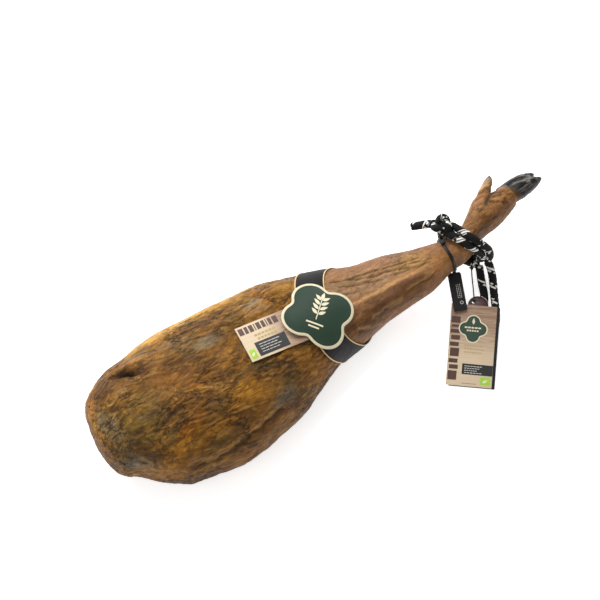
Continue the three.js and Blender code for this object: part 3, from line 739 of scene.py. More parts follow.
def leaf(x, y, length, width, turn, steps=9):
    """A pointed leaf from its stalk's end."""
    c, s = math.cos(math.radians(turn)), math.sin(math.radians(turn))
    edge = []
    for k in range(steps + 1):
        edge.append((length * k / steps, 0.5 * width * math.sin(math.pi * (k / steps) ** 0.8)))
    outline = edge + [(a, -b) for a, b in edge[-2:0:-1]]
    return [(x + a * c - b * s, y + a * s + b * c) for a, b in outline]


def lobed(radius_to_lobe, lobe, inset=0.0, steps=96, soften=3):
    """A four-lobed outline whose notches are rounded, drawn in by an inset."""
    reach = []
    for i in range(steps):
        angle = 2 * math.pi * i / steps
        off = abs(((angle + math.pi / 4) % (math.pi / 2)) - math.pi / 4)
        aside = radius_to_lobe * math.sin(off)
        reach.append(radius_to_lobe * math.cos(off) + math.sqrt(lobe**2 - aside**2))
    reach = np.array(reach)
    for _ in range(soften):
        reach = (np.roll(reach, 1) + 2 * reach + np.roll(reach, -1)) / 4
    angles = 2 * np.pi * np.arange(steps) / steps
    points = np.stack([reach * np.cos(angles), reach * np.sin(angles)], axis=1)
    if inset:
        along = np.roll(points, -1, axis=0) - np.roll(points, 1, axis=0)
        inward = np.stack([-along[:, 1], along[:, 0]], axis=1)
        points = points + inset * inward / np.linalg.norm(inward, axis=1)[:, None]
    return points


# ---- The sizes and colours that a user would change ----


def size(name, default, low, high, words):
    return bpy.props.FloatProperty(
        name=name, description=words, default=default, min=low, max=high, unit="LENGTH", precision=4
    )


class HamSizes(bpy.types.PropertyGroup):
    cell: size("Skin cell", 0.00185, 0.0012, 0.004, "Spacing of the points on the ham's skin")
    fibre: size("Fibre depth", 0.0011, 0.0, 0.003, "How deep the long wrinkles are")
    lump: size("Lumps", 0.0024, 0.0, 0.006, "How far the broad lumps stand out")
    rope: size("Rope diameter", 0.011, 0.006, 0.014, "Diameter of the braided rope")
    rim: size("Badge rim", 0.0036, 0.001, 0.008, "Width of the badge's cream rim")


def tint(name, text, words):
    return bpy.props.FloatVectorProperty(
        name=name, description=words, subtype="COLOR", size=4, min=0, max=1, default=linear(text)
    )


class HamColours(bpy.types.PropertyGroup):
    rind: tint("Rind", "#7a541d", "Main colour of the fat end's rind")
    ochre: tint("Ochre", "#ab7819", "Yellowed fat")
    # this colour is also laid along the creases and cracks, partly as painted shade in them
    dark: tint("Cracks", "#25150a", "Cracks and hollows")
    bloom: tint("Bloom", "#62593e", "Grey mould bloom")
    skin: tint("Shank", "#8c6343", "Skin of the shank")
    trotter: tint("Trotter", "#9a6b38", "Skin of the foot")
    hoof: tint("Hoof", "#0e0d0d", "Horn of the claws")


def sizes():
    return bpy.context.scene.cured_ham_sizes


def colours():
    return bpy.context.scene.cured_ham_colours


# ---- The ham's skin ----

# Grooves and ridges across the plan in millimetres: half width, depth (a ridge's is negative), points.
CREASES = [
    (2.4, 3.4, [(-286, 60), (-278, 56), (-268, 54), (-258, 48)]),
    (2.0, 2.2, [(-269, 45), (-256, 19), (-237, -2), (-214, -19)]),
    (5.0, -1.6, [(-290, 66), (-268, 66), (-246, 56)]),
    (1.6, 1.6, [(-256, 63), (-226, 47), (-193, 31), (-160, 22)]),
    (1.5, 1.5, [(-250, 72), (-215, 62), (-180, 50), (-150, 44)]),
    (1.5, 1.3, [(-240, 34), (-215, 24), (-190, 12), (-165, 8)]),
    (1.5, 1.2, [(-300, 30), (-284, 20), (-270, 0), (-262, -20)]),
    (2.2, 2.2, [(-262, -84), (-235, -91), (-205, -92), (-165, -88), (-128, -80)]),
    (8.0, -1.6, [(-250, -76), (-215, -81), (-170, -78)]),
    (1.8, 1.4, [(-290, -30), (-262, -40), (-240, -44), (-212, -50)]),
    (1.6, 1.3, [(-226, -62), (-196, -62), (-160, -66)]),
    (2.0, 2.8, [(-90, 76), (-78, 62), (-67, 46), (-58, 36)]),
    (7.0, -2.0, [(-60, 60), (-36, 58), (-14, 60)]),
    (1.8, 2.2, [(-106, 66), (-88, 60), (-72, 62)]),
    (1.5, 1.5, [(-124, 40), (-104, 46), (-86, 50)]),
    (1.6, 1.6, [(-140, 62), (-118, 56), (-96, 58)]),
    (2.0, 1.5, [(-130, -40), (-110, -50), (-86, -50)]),
    (1.7, 1.4, [(-116, -30), (-96, -38), (-66, -38)]),
    (1.7, 1.3, [(-60, -50), (-40, -46), (-25, -52)]),
    (2.0, 1.4, [(-200, 66), (-160, 66), (-130, 72)]),
]
SHANK_CREASES = [
    (5.0, -3.2, [(-4, -11), (40, -9), (80, -10), (116, -11)]),
    (8.0, 2.0, [(0, -26), (40, -23), (80, -23), (110, -22)]),
    (2.0, 2.4, [(12, 37), (28, 32), (46, 24), (66, 19)]),
    (2.2, 3.0, [(56, 19), (70, 15), (88, 13), (108, 4)]),
    (1.9, 2.4, [(70, 24), (88, 19), (106, 15), (128, 13)]),
    (1.9, 2.0, [(20, 24), (38, 17), (52, 12), (72, 5)]),
    (1.7, 2.0, [(34, 30), (50, 27), (64, 26)]),
    (1.7, 1.8, [(8, 14), (24, 8), (36, 6)]),
    (1.7, 1.7, [(90, 4), (112, 1), (136, -3)]),
    (1.7, 1.7, [(104, 10), (122, 6), (142, 2)]),
    (2.2, 2.2, [(36, -33), (58, -31), (82, -29)]),
    (1.8, 1.4, [(92, -24), (112, -22), (132, -20)]),
    (1.8, 1.4, [(10, -38), (30, -40), (48, -38)]),
]
PIT = ((-272, 55), (13, 4), -28, 6.0)  # a hollow beside the pelvic bone: centre, half sizes, turn, depth
NICK = ((-297, -68, 4), 15, 6.0)  # a torn notch under the near edge


def torn(points):
    """A ragged shift across the plan, which keeps creases from being smooth lines."""
    along = 3.0 * layered(points, (13, 9, 9), 51, layers=2)
    across = 2.6 * layered(points, (11, 7, 7), 53, layers=3)
    return np.stack([along, across], axis=1)


def wrinkled(plan, bent):
    """The small furrows on the upper side of the shank, from 0 to 1."""
    facet = spot(plan, (66, 18), (60, 20), -8)
    return facet * np.clip(1 - np.abs(layered(bent, (30, 7.5, 7.5), 61, layers=2)) * 4, 0, 1) ** 2


def sculpt(points, normals):
    """How far each point of the skin moves out, in millimetres."""
    plan = points[:, :2]
    upper = ramp(normals[:, 2], 0.05, 0.45)
    body = ramp(-points[:, 0], -20, 60)
    foot = ramp(points[:, 0], 175, 205)
    warp = layered(points, (60, 60, 60), 3)
    bent = points + np.stack([22 * warp, 16 * layered(points, (55, 55, 55), 5, layers=2), 9 * warp], axis=1)
    lumps = layered(points, (62, 44, 44), 7, layers=2)
    fibre = layered(bent, (20, 5.5, 5.5), 9, layers=3)
    cracks = 1 - np.abs(layered(bent, (30, 10, 10), 13, layers=3)) * 4.2
    cracks = np.clip(cracks, 0, 1) ** 2
    pores = layered(points, (5, 3.5, 3.5), 17, layers=2)
    jag = torn(points)
    depth = 1000 * sizes().fibre
    out = 1000 * sizes().lump * lumps * (0.35 + 0.65 * body) * (1 - foot)
    out += depth * (fibre * (0.3 + 0.7 * body) - 0.8 * cracks * (0.3 + 0.7 * body)) * (1 - 0.75 * foot)
    out += 0.22 * pores
    out -= 1.3 * upper * wrinkled(plan, bent)
    for half, deep, line in CREASES + SHANK_CREASES:
        wobble = 1 + 0.4 * layered(points, (12, 12, 12), int(10 * half) + len(line), layers=1)
        near = line_distance(plan + jag * min(1.0, 2.5 / half), line) / (half * wobble)
        out -= upper * deep * np.exp(-near * near)
    centre, across, turn, deep = PIT
    out -= upper * deep * spot(plan + jag, centre, across, turn)
    out += 1.8 * spot(plan, (275, 59), (9, 7))
    at, reach, deep = NICK
    out -= deep * np.exp(-(((points - np.array(at)) / reach) ** 2).sum(axis=1) * 2)
    return out, cracks, upper, body, foot, bent


# Patches across the plan: fresh colour, centre, half sizes, turn and strength.
PATCHES = [
    ("#c28a3a", (-338, 20), (13, 60), 0, 0.85),
    ("#b5752a", (-322, 62), (34, 13), 50, 0.7),
    ("#6d6a60", (-326, -30), (15, 24), 20, 0.7),
    ("#5f5f58", (-308, -55), (26, 14), -35, 0.8),
    ("#857048", (-322, 8), (16, 30), 0, 0.55),
    ("#77603a", (-284, -12), (34, 36), 0, 0.75),
    ("#b57c28", (-258, -64), (34, 12), 25, 0.75),
    ("#a8641f", (-236, -46), (20, 12), 30, 0.7),
    ("#a4621e", (-256, 68), (26, 9), -10, 0.7),
    ("#6b3f16", (-238, 28), (52, 16), -28, 0.65),
    ("#8a5a1c", (-212, 4), (40, 20), -30, 0.6),
    # the next two pale patches along the far edge, about 86 to 88 mm across, are a painted highlight where the light
    # falls
    ("#c99c58", (-196, 88), (70, 12), 2, 0.8),
    ("#b98a4c", (-120, 86), (50, 14), -6, 0.75),
    ("#8d8876", (-190, 42), (24, 12), -10, 0.7),
    ("#847c68", (-158, 38), (18, 10), -10, 0.6),
    ("#6f6450", (-228, 66), (34, 7), -8, 0.6),
    ("#c18a44", (-156, -46), (20, 13), 15, 0.75),
    ("#6e6150", (-196, -44), (26, 9), 10, 0.45),
    ("#716453", (-108, -62), (28, 14), 12, 0.6),
    ("#6f5a44", (-212, -88), (44, 10), 6, 0.75),
    ("#8f5a24", (-240, -98), (60, 9), 2, 0.6),
    ("#9a6a3c", (-150, -84), (50, 12), 4, 0.5),
    ("#5b421c", (-108, -22), (34, 12), 20, 0.5),
    ("#b98a60", (-38, 60), (26, 12), 0, 0.8),
    ("#b97632", (-74, 60), (11, 18), 25, 0.75),
    ("#7d5a34", (-100, 62), (20, 8), 0, 0.6),
    ("#96663f", (-60, -54), (40, 18), 10, 0.6),
    ("#7b5430", (-34, -36), (22, 12), 0, 0.6),
]
BLOOM_PATCHES = [
    ("#6b675a", (-318, -48), (24, 13), -38, 0.6),
    ("#746f5b", (-324, 10), (12, 32), 8, 0.5),
    ("#7e745d", (-169, 36), (22, 11), -12, 0.5),
    ("#68665b", (-122, -70), (24, 12), 14, 0.55),
    ("#97886a", (-90, 58), (24, 9), -6, 0.55),
    ("#766b55", (-92, 44), (18, 6), -10, 0.4),
    ("#6b6452", (-252, 72), (24, 6), -14, 0.35),
    ("#766c55", (-205, 60), (20, 8), -14, 0.35),
]
SHANK_PATCHES = [
    ("#9c7a58", (50, 18), (74, 20), -6, 0.8),
    ("#a06f50", (78, 20), (30, 11), -8, 0.55),
    ("#b68a4c", (120, 8), (30, 14), -4, 0.6),
    # the next two dark patches under the shank's ridge are painted shade on its lower facet, which faces away from the
    # light
    ("#573419", (44, -32), (64, 12), 2, 0.9),
    ("#68421f", (104, -22), (40, 8), 4, 0.8),
    # painted highlight along the top of the shank's ridge
    ("#b78a54", (62, -7), (62, 4), 0, 0.75),
    ("#9a6832", (150, -8), (24, 18), 0, 0.6),
    ("#a47236", (192, -2), (18, 20), 0, 0.7),
    # painted shade: a dark patch low on the shank's lower facet
    ("#5a3618", (30, -46), (46, 9), 0, 0.8),
]
AGED = (0.935, 0.93, 0.58)  # what age leaves of a patch's red, green and blue
AGED_GREEN = (0.62, 0.80)  # the least and most of an aged patch's green, as shares of its red
FAT_CAST = (-0.03, -0.13, -0.45)  # the yellow cast that cured fat gives to what is under it


def aged(text):
    """A patch's fresh colour as it is on old rind, in linear red, green and blue."""
    red, green, blue = (share * int(text[i:i + 2], 16) / 255 for share, i in zip(AGED, (1, 3, 5)))
    green = min(max(green, AGED_GREEN[0] * red), AGED_GREEN[1] * red)
    return tuple(to_linear(c) for c in (red, green, blue))


def blend(colour, other, amount):
    """Goes part of the way from each point's colour to another, given as hex or as linear values."""
    target = linear(other) if isinstance(other, str) else other
    return colour + (np.array(target[:3]) - colour) * np.clip(amount, 0, 1)[:, None]


def paint(points, normals, cracks, upper, body, foot, bent):
    """The skin's colour at each point, how much of it is horn, and how fibrous it is."""
    c = colours()
    plan = points[:, :2]
    ragged = 0.5 + 0.5 * layered(bent, (22, 7, 7), 21)
    broad = layered(points, (46, 34, 34), 23)
    colour = np.tile(np.array(c.skin[:3]), (len(points), 1))

    def coat(other, amount):
        nonlocal colour
        colour = blend(colour, other, amount)

    coat(c.rind, body)
    coat(c.ochre, body * 0.75 * ramp(broad, 0.0, 0.55) * ragged)
    coat(c.bloom, body * 0.6 * ramp(layered(points, (30, 26, 26), 27), 0.12, 0.6))
    # painted shade: the body's rind is darker where it faces down
    under = ramp(-normals[:, 2], -0.35, 0.3)
    coat("#5e3c1a", under * body * 0.7)
    drifted = plan + 7 * np.stack([broad, -broad], axis=1)
    patches = [(aged(fresh), *rest) for fresh, *rest in PATCHES] + SHANK_PATCHES
    for patch_colour, centre, across, turn, strength in patches:
        shape = spot(drifted, centre, across, turn)
        amount = strength * upper * ramp(shape + 0.45 * (ragged - 0.5), 0.18, 0.75)
        coat(patch_colour, amount * (1 - foot))
    # painted shade: the shank and foot are darker low down, near the floor
    low = ramp(-points[:, 2], -40, -14) * ramp(points[:, 0], -40, 30)
    coat("#5f3a1c", 0.6 * low)
    shading = layered(bent, (34, 17, 17), 43, layers=2)
    coat("#3a2410", (0.2 + 0.3 * body) * ramp(shading, 0.1, 0.6) * (1 - foot))
    coat("#a5783c", (0.1 + 0.3 * body) * ramp(-shading, 0.12, 0.6) * (1 - foot))
    # painted shade in the small furrows on the shank's upper side, where the skin is pushed in
    coat("#4b2b14", 0.75 * upper * wrinkled(plan, bent))
    # painted shade: the body's near side, which faces away from the light, is darker
    painted_shade_near_side = ramp(-points[:, 1], 48, 92) * upper * body
    coat("#4f2f10", 0.4 * painted_shade_near_side)
    # painted highlight: a pale band along the body's far edge, where the light falls on it
    lengthwise = ramp(-points[:, 0], 30, 90) * ramp(points[:, 0], -300, -250)
    painted_highlight_far_edge = ramp(points[:, 1], 76, 92) * body * lengthwise
    coat("#dcb67c", 0.75 * painted_highlight_far_edge * (0.5 + 0.5 * ragged))
    dark_streak = ramp(layered(bent, (19, 4.4, 4.4), 31, layers=2), 0.12, 0.5)
    pale_streak = ramp(layered(bent, (15, 4.0, 4.0), 33, layers=2), 0.15, 0.5)
    patchy = 0.35 + 0.65 * ramp(layered(points, (38, 30, 30), 47, layers=2), -0.15, 0.3)
    coat(c.dark, (0.12 + 0.36 * body) * patchy * dark_streak * (1 - 0.7 * foot))
    pale = (0.12 + 0.2 * body) * (1.3 - patchy) * pale_streak
    coat("#c69a55", pale * (1 - 0.5 * foot))
    # dark cracks: partly the rind's own dark colour and partly painted shade, where the skin is pushed in along the
    # same cracks
    coat(c.dark, (0.3 + 0.45 * body) * cracks * ragged * (1 - 0.6 * foot))
    fibrous = (0.6 + 0.5 * body * patchy) * (1 - 0.15 * foot)
    jag = torn(points)
    # along each narrow groove: a dark line, stronger where the groove is deeper, as painted shade in it, and a pale
    # line on its far lip as a painted highlight
    for half, deep, line in CREASES + SHANK_CREASES:
        if half < 5 and deep > 0:
            near = line_distance(plan + jag, line) / (half * 0.8)
            coat(c.dark, 0.45 * min(deep, 2.1) * upper * np.exp(-near * near))
            near = line_distance(plan + jag + np.array([0, -2.2]), line) / half
            coat("#c99a5e", 0.3 * upper * np.exp(-near * near))
    # painted shade: the hollow of the pit is near black
    centre, _, turn, _ = PIT
    coat("#190d06", 1.2 * upper * spot(plan + jag, centre, (15, 5), turn))
    coat(c.trotter, foot * 0.85)
    patch = layered(points, (20, 14, 14), 45, layers=2)
    coat("#c79a68", foot * 0.65 * ramp(patch, 0.05, 0.5))
    coat("#6d4119", foot * 0.6 * ramp(-patch, 0.05, 0.5))
    wrinkle = ramp(layered(bent, (13, 4, 4), 37, layers=2), 0.1, 0.45)
    coat("#4a2b0f", foot * 0.75 * wrinkle)
    # painted shade: the foot's near side, which faces away from the light, is darker
    side = ramp(-normals[:, 1], 0.25, 0.85) * ramp(points[:, 0], 190, 215)
    coat("#4a2c14", 0.4 * side)
    pastern = spot(plan, (222, 6), (16, 26))
    coat("#3f260f", 0.75 * pastern * (0.5 + 0.5 * wrinkle))
    # painted shade: a dark line in the cleft between the claws
    cleft = line_distance(plan, [(246, 30), (262, 42), (272, 45)]) / 3.2
    coat("#1f1108", 0.85 * upper * np.exp(-cleft * cleft))
    horn_line = 292 - 0.42 * (points[:, 1] - 30) + 2.5 * patch
    horn = ramp(points[:, 0] - horn_line, -2.0, 2.5)
    grain = ramp(layered(points, (40, 3.2, 3.2), 41, layers=2), -0.05, 0.4)
    coat(c.hoof, horn)
    # pale grain of the horn shown only where the claws face up: partly the horn's own streaks and partly a painted
    # highlight
    top = ramp(normals[:, 2], 0.55, 0.95)
    coat("#8c857c", horn * 0.75 * grain * top)
    rim = horn * ramp(horn_line + 9 - points[:, 0], 0, 6)
    coat("#4e3c2b", 0.8 * rim)
    tip = ramp(points[:, 1], 55, 63) * ramp(points[:, 0], 240, 262) * (1 - horn)
    coat("#857a6e", 0.75 * tip)
    colour = colour * (1 + body[:, None] * np.array(FAT_CAST))
    for patch_colour, centre, across, turn, strength in BLOOM_PATCHES:
        shape = spot(drifted, centre, across, turn)
        amount = strength * upper * ramp(shape + 0.9 * (ragged - 0.5), 0.2, 0.95) * (1 - 0.6 * dark_streak)
        coat(patch_colour, amount)
    fibrous = fibrous * (1 - 0.6 * horn)
    return colour, horn, fibrous


# ---- Operators, one for each piece or group ----


class CUREDHAM_OT_stage(bpy.types.Operator):
    """Lays the floor, sets soft studio light and places the camera"""

    bl_idname = "cured_ham.stage"
    bl_label = "Stage"

    def execute(self, context):
        bpy.ops.mesh.primitive_plane_add(size=12, location=(0, 0, 0))
        floor = context.object
        floor.name = "floor"
        paper, tree = finish_of(
            "studio_paper", Roughness=0.9, Specular_IOR_Level=0.1,
            Emission_Color=(1, 1, 1, 1), Emission_Strength=0.62,
        )
        place = node(tree, "TexCoord")["Object"]
        fine = node(tree, "TexNoise", {"Scale": 900.0, "Detail": 2.0, "Vector": place})["Fac"]
        shade = node(tree, "Mix", {0: fine, 6: linear("#f6f6f6"), 7: linear("#fafafa")}, data_type="RGBA")[2]
        fed(paper, Base_Color=shade)
        floor.data.materials.append(paper)
        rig.stage(floor)
        world = bpy.data.worlds.new("studio")
        context.scene.world = world
        world.use_nodes = True
        sky = world.node_tree.nodes["Background"]
        sky.inputs["Color"].default_value = (1, 1, 1, 1)
        sky.inputs["Strength"].default_value = 0.42
        for name, place_at, size, power in (
            ("key_softbox", (0.45, 1.25, 1.9), 1.5, 38.0),
            ("fill_softbox", (-1.5, -0.5, 2.0), 1.6, 9.0),
            ("edge_softbox", (-0.5, 2.0, 1.1), 1.0, 34.0),
        ):
            lamp = bpy.data.lights.new(name, "AREA")
            lamp.shape = "DISK"
            lamp.size = size
            lamp.energy = power
            made = bpy.data.objects.new(name, lamp)
            context.scene.collection.objects.link(made)
            made.location = place_at
            aim = Vector((0, 0, 0.05)) - Vector(place_at)
            made.rotation_euler = aim.to_track_quat("-Z", "Y").to_euler()
        lens = bpy.data.cameras.new("camera")
        lens.lens = VIEW_LENS
        lens.sensor_width = 36
        camera = bpy.data.objects.new("camera", lens)
        context.scene.collection.objects.link(camera)
        a, e = VIEW_AZIMUTH, VIEW_ELEVATION
        right = Vector((math.cos(a), math.sin(a), 0))
        ahead = Vector((-math.sin(a) * math.cos(e), math.cos(a) * math.cos(e), -math.sin(e)))
        up = right.cross(ahead)
        turn = Matrix((right, up, -ahead)).transposed().to_4x4()
        camera.matrix_world = Matrix.Translation(VIEW_FROM) @ turn
        context.scene.camera = camera
        context.scene.view_settings.view_transform = "Standard"
        context.scene.view_settings.look = "None"
        return {"FINISHED"}


class CUREDHAM_OT_rope_loop(bpy.types.Operator):
    """Makes the loop of rope that lies on the table under the tags"""

    bl_idname = "cured_ham.rope_loop"
    bl_label = "Rope loop"

    def execute(self, context):
        radius = sizes().rope / 2
        loop, line = tube(
            "loop_of_rope", LOOP_ROUTE, radius * 0.97, 30, 0.001, "braided_polyester_rope",
            braid=BRAID_DEPTH, lumps=0.025, seed=3,
        )
        settle(loop, "rope_loop", "rope")
        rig.cord(
            loop, exit=LOOP_ROUTE[0], length=LOOP_LENGTH, diameter=0.011, far_end="object",
            stiffness="limp", lay="loose", path=[tuple(p) for p in line[::3]] + [tuple(line[-1])],
            with_pieces=[bpy.data.objects["front_tag"], bpy.data.objects["back_tag"]],
        )
        return {"FINISHED"}


class CUREDHAM_OT_tag_string(bpy.types.Operator):
    """Makes the string from the pastern to the disc, with its two small knots"""

    bl_idname = "cured_ham.tag_string"
    bl_label = "Tag string"

    def execute(self, context):
        cotton = "waxed_cotton_string"
        string, line = tube(
            "string_of_tag", STRING_ROUTE, STRING_DIAMETER * 0.48, 12, 0.0005, cotton, lumps=0.03,
        )
        knots = []
        for name, at, big in (
            ("string_knot_upper", STRING_ROUTE[1], 1.0), ("string_knot_lower", STRING_ROUTE[-1], 0.8),
        ):
            loops = []
            for k in range(25):
                t = 2 * math.pi * k / 24
                x = at[0] + big * 0.00075 * (math.sin(t) + 2 * math.sin(2 * t))
                y = at[1] + big * 0.00075 * (math.cos(t) - 2 * math.cos(2 * t))
                loops.append((x, y, at[2] - big * 0.0012 * math.sin(3 * t)))
            knots.append(tube(name, loops, 0.0009 * big, 10, 0.0005, cotton)[0])
        settle(string, "tag_string", "string")
        for knot in knots:
            settle(knot, None, "string")
        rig.cord(
            string, exit=STRING_ROUTE[0], length=STRING_LENGTH, diameter=STRING_DIAMETER,
            far_end="fitting", stiffness="limp", lay="hanging",
            path=[tuple(p) for p in line[::4]] + [tuple(line[-1])],
            with_pieces=[*knots, bpy.data.objects["seal_disc"]],
        )
        return {"FINISHED"}


class CUREDHAM_OT_ham(bpy.types.Operator):
    """Makes the ham's skin from its solid: evens it, sculpts its creases and paints its rind"""

    bl_idname = "cured_ham.ham"
    bl_label = "Ham"

    def execute(self, context):
        ham = copy_of("ham_leg", "ham", "cured_rind")
        activate(ham)
        ham.data.remesh_voxel_size = sizes().cell
        ham.data.remesh_voxel_adaptivity = 0
        bpy.ops.object.voxel_remesh()
        points = triples(ham.data.vertices, "co")
        group = ham.vertex_groups.new(name="even")
        soft = ramp(-points[:, 0], -0.262, -0.225)
        for level in range(1, 9):
            chosen = np.nonzero(np.round(soft * 8) == level)[0]
            group.add([int(i) for i in chosen], level / 8, "REPLACE")
        apply_modifier(ham, "SMOOTH", factor=0.5, iterations=26, vertex_group="even")
        apply_modifier(ham, "SMOOTH", factor=0.5, iterations=3)
        points = triples(ham.data.vertices, "co") * 1000
        normals = triples(ham.data.vertex_normals, "vector")
        out, *found = sculpt(points, normals)
        out = self.kept_below(points, out)
        moved = points + normals * out[:, None]
        moved[:, 2] = np.maximum(moved[:, 2], 0.0)
        ham.data.vertices.foreach_set("co", (moved / 1000).ravel())
        ham.data.update()
        colour, horn, fibrous = paint(points, normals, *found)
        layer = ham.data.color_attributes.new(name="rind", type="FLOAT_COLOR", domain="POINT")
        rgba = np.concatenate([np.clip(colour, 0, 1), np.ones((len(colour), 1))], axis=1)
        layer.data.foreach_set("color", rgba.ravel())
        for name, values in (("horn", horn), ("fibrous", fibrous)):
            attribute = ham.data.attributes.new(name=name, type="FLOAT", domain="POINT")
            attribute.data.foreach_set("value", values)
        ham.vertex_groups.clear()
        activate(ham)
        bpy.ops.object.shade_smooth()
        settle(ham, "ham_leg", "cured_meat")
        return {"FINISHED"}

    def kept_below(self, points, out):
        """Under the band, the seal and the cards, the skin stays as low as its solid."""
        reach = {"label_band": 7.0, "small_label": 7.0, "badge": 7.0, "seal_strap": 5.0, "rope_lashing": 6.0}
        covers = [(tree_of(frame["nodes"][solid]), limit) for solid, limit in reach.items()]
        kept = out.copy()
        close = np.nonzero((points[:, 0] > -150) & (points[:, 0] < 260))[0]
        for i in close:
            at = Vector(points[i] / 1000)
            for tree, limit in covers:
                found = tree.find_nearest(at, limit * MM)
                if found[0] is not None:
                    share = float(ramp(np.array([found[3] * 1000]), 0.4 * limit, limit)[0])
                    kept[i] = min(kept[i], share * max(out[i], 0) + min(out[i], 0) - 0.1)
        return kept


class CUREDHAM_OT_label_band(bpy.types.Operator):
    """Makes the ribbon round the ham, with gilt threads at its edges"""

    bl_idname = "cured_ham.label_band"
    bl_label = "Label band"

    def execute(self, context):
        band = copy_of("label_band", "ribbon_band", "woven_satin_ribbon")
        edited(band, tris_convert_to_quads={}, subdivide={"number_cuts": 3})
        mesh = band.data
        work = bmesh.new()
        work.from_mesh(mesh)
        inner = [e for e in work.edges if len(e.link_faces) == 2]
        sharp = [e for e in inner if e.calc_face_angle() > math.radians(50)]
        rim = KDTree(3 * len(sharp))
        for n, edge in enumerate(sharp):
            for k, share in enumerate((0.0, 0.5, 1.0)):
                rim.insert(edge.verts[0].co.lerp(edge.verts[1].co, share), 3 * n + k)
        rim.balance()
        work.free()
        away = [1000 * rim.find(v.co)[2] for v in mesh.vertices]
        attribute = mesh.attributes.new(name="edge_mm", type="FLOAT", domain="POINT")
        attribute.data.foreach_set("value", away)
        settle(band, "label_band", "black_ribbon", smooth_below=40)
        return {"FINISHED"}


def over(solid, centre, turn):
    """Places the card's own millimetres on its bent upper face, lifted off it by a few tenths."""
    mesh = frame["nodes"][solid].data
    tops = np.array([v for p in mesh.polygons if p.normal.z > 0.5 for v in p.vertices])
    flat = np.array([mesh.vertices[i].co for i in np.unique(tops)])
    x, y = flat[:, 0] - centre[0], flat[:, 1] - centre[1]
    terms = np.stack([np.ones(len(x)), x, y, y * y], axis=1)
    level, ahead, across, bend = np.linalg.lstsq(terms, flat[:, 2], rcond=None)[0]
    c, s = math.cos(turn), math.sin(turn)

    def place(u, v, lift):
        x = (u * c - v * s) * MM
        y = (u * s + v * c) * MM
        z = level + ahead * x + across * y + bend * y * y
        return (centre[0] + x, centre[1] + y, z + lift * MM)

    return place


class CUREDHAM_OT_badge(bpy.types.Operator):
    """Makes the four-lobed badge: green board, cream rim and a plain sprig with bars"""

    bl_idname = "cured_ham.badge"
    bl_label = "Badge"

    def execute(self, context):
        place = over("badge", BADGE_CENTRE, BADGE_TURN)
        outer = lobed(23.5, 24.0) * 0.992
        rim = lobed(23.5, 24.0, inset=1000 * sizes().rim)
        fine = lobed(23.5, 24.0, inset=1000 * sizes().rim + 0.9)
        rings = []
        under = -1.15  # where the board's underside lies, in millimetres below its face
        for line, up in (
            (outer, under), (outer, 0.0), (0.995 * outer, 0.12), (0.3 * outer + 0.7 * rim, 0.16),
            (rim, 0.12), (fine, 0.0),
        ):
            rings.append([place(x, y, up) for x, y in line])
        for share in (0.8, 0.6, 0.4, 0.2):
            rings.append([place(x * share, y * share, 0.0) for x, y in fine])
        verts = [p for ring in rings for p in ring]
        count = len(outer)
        faces = walls(len(rings), count)
        rim_faces = 4 * count
        slots = [0] * rim_faces + [1] * (len(faces) - rim_faces)
        verts.append(place(0, 0, 0.0))
        hub, last = len(verts) - 1, (len(rings) - 1) * count
        verts.append(place(0, 0, under))
        for j in range(count):
            k = (j + 1) % count
            faces.append((last + j, last + k, hub))
            slots.append(1)
            faces.append((k, j, hub + 1))
            slots.append(0)
        board = piece_from("badge_board", verts, faces, ["cream_rim_board", "green_field_board"], slots)
        settle(board, "badge", "badge_card", smooth_below=35)
        mark = Print(place)
        turn = math.radians(-38)
        c, s = math.cos(turn), math.sin(turn)

        def turned(points):
            return [(x * c - y * s, x * s + y * c) for x, y in points]

        shapes = []
        for k, at in enumerate((14, 7, 0, -7)):
            for way in (-1, 1):
                shapes.append(leaf(0.9 * way, at + 6, 11.5 - 0.6 * abs(k - 1.5), 4.4, 90 - way * 52))
        shapes.append(leaf(0, 21, 11, 4.6, 90))
        shapes.append(rectangle(-0.6, -9, 0.6, 21.5))
        for wide, at in ((11, -15), (7, -20)):
            shapes.append(rectangle(-wide, at - 1.1, wide, at + 1.1))
        for outline in shapes:
            mark.shape(turned(outline), "cream_ink")
        mark.piece("badge_print", "badge_card")
        return {"FINISHED"}


class CUREDHAM_OT_small_label(bpy.types.Operator):
    """Makes the folded paper label beside the badge with its blocks of print"""

    bl_idname = "cured_ham.small_label"
    bl_label = "Small label"

    def execute(self, context):
        card = copy_of("small_label", "paper_label", "label_wood_print")
        settle(card, "small_label", "label_card", smooth_below=35)
        print_on = Print(over("small_label", LABEL_CENTRE, LABEL_TURN))
        blocks = (
            (-38, -31), (-30, -25), (-24, -18), (-17, -15), (-14, -8), (-7, -2), (-1, 1), (2, 7), (8, 15),
        )
        for left, right in blocks:
            print_on.bar(left, 12.5, right - 0.6, 22.5, "brown_ink", 0.14)
        for row, at in enumerate((6.4, 0.8)):
            print_on.bar(-22 + 2 * row, at - 1.5, 7, at + 1.5, "pale_gold_ink", 0.14, pieces=6, gap=1.0)
        print_on.bar(-27, -22.5, 14, -3, "black_ink", 0.14)
        for row in range(4):
            low, high = -7.5 - 3.6 * row, -6.6 - 3.6 * row
            print_on.bar(-22, low, 6 - 4 * (row % 2), high, "white_ink", 0.24, pieces=5, gap=0.8)
        print_on.bar(-37.5, -22.5, -30, -10, "leaf_green_ink", 0.14)
        print_on.shape(leaf(-36, -19, 6.5, 3.0, 50), "cream_ink", 0.24)
        print_on.piece("label_print", "label_card")
        return {"FINISHED"}


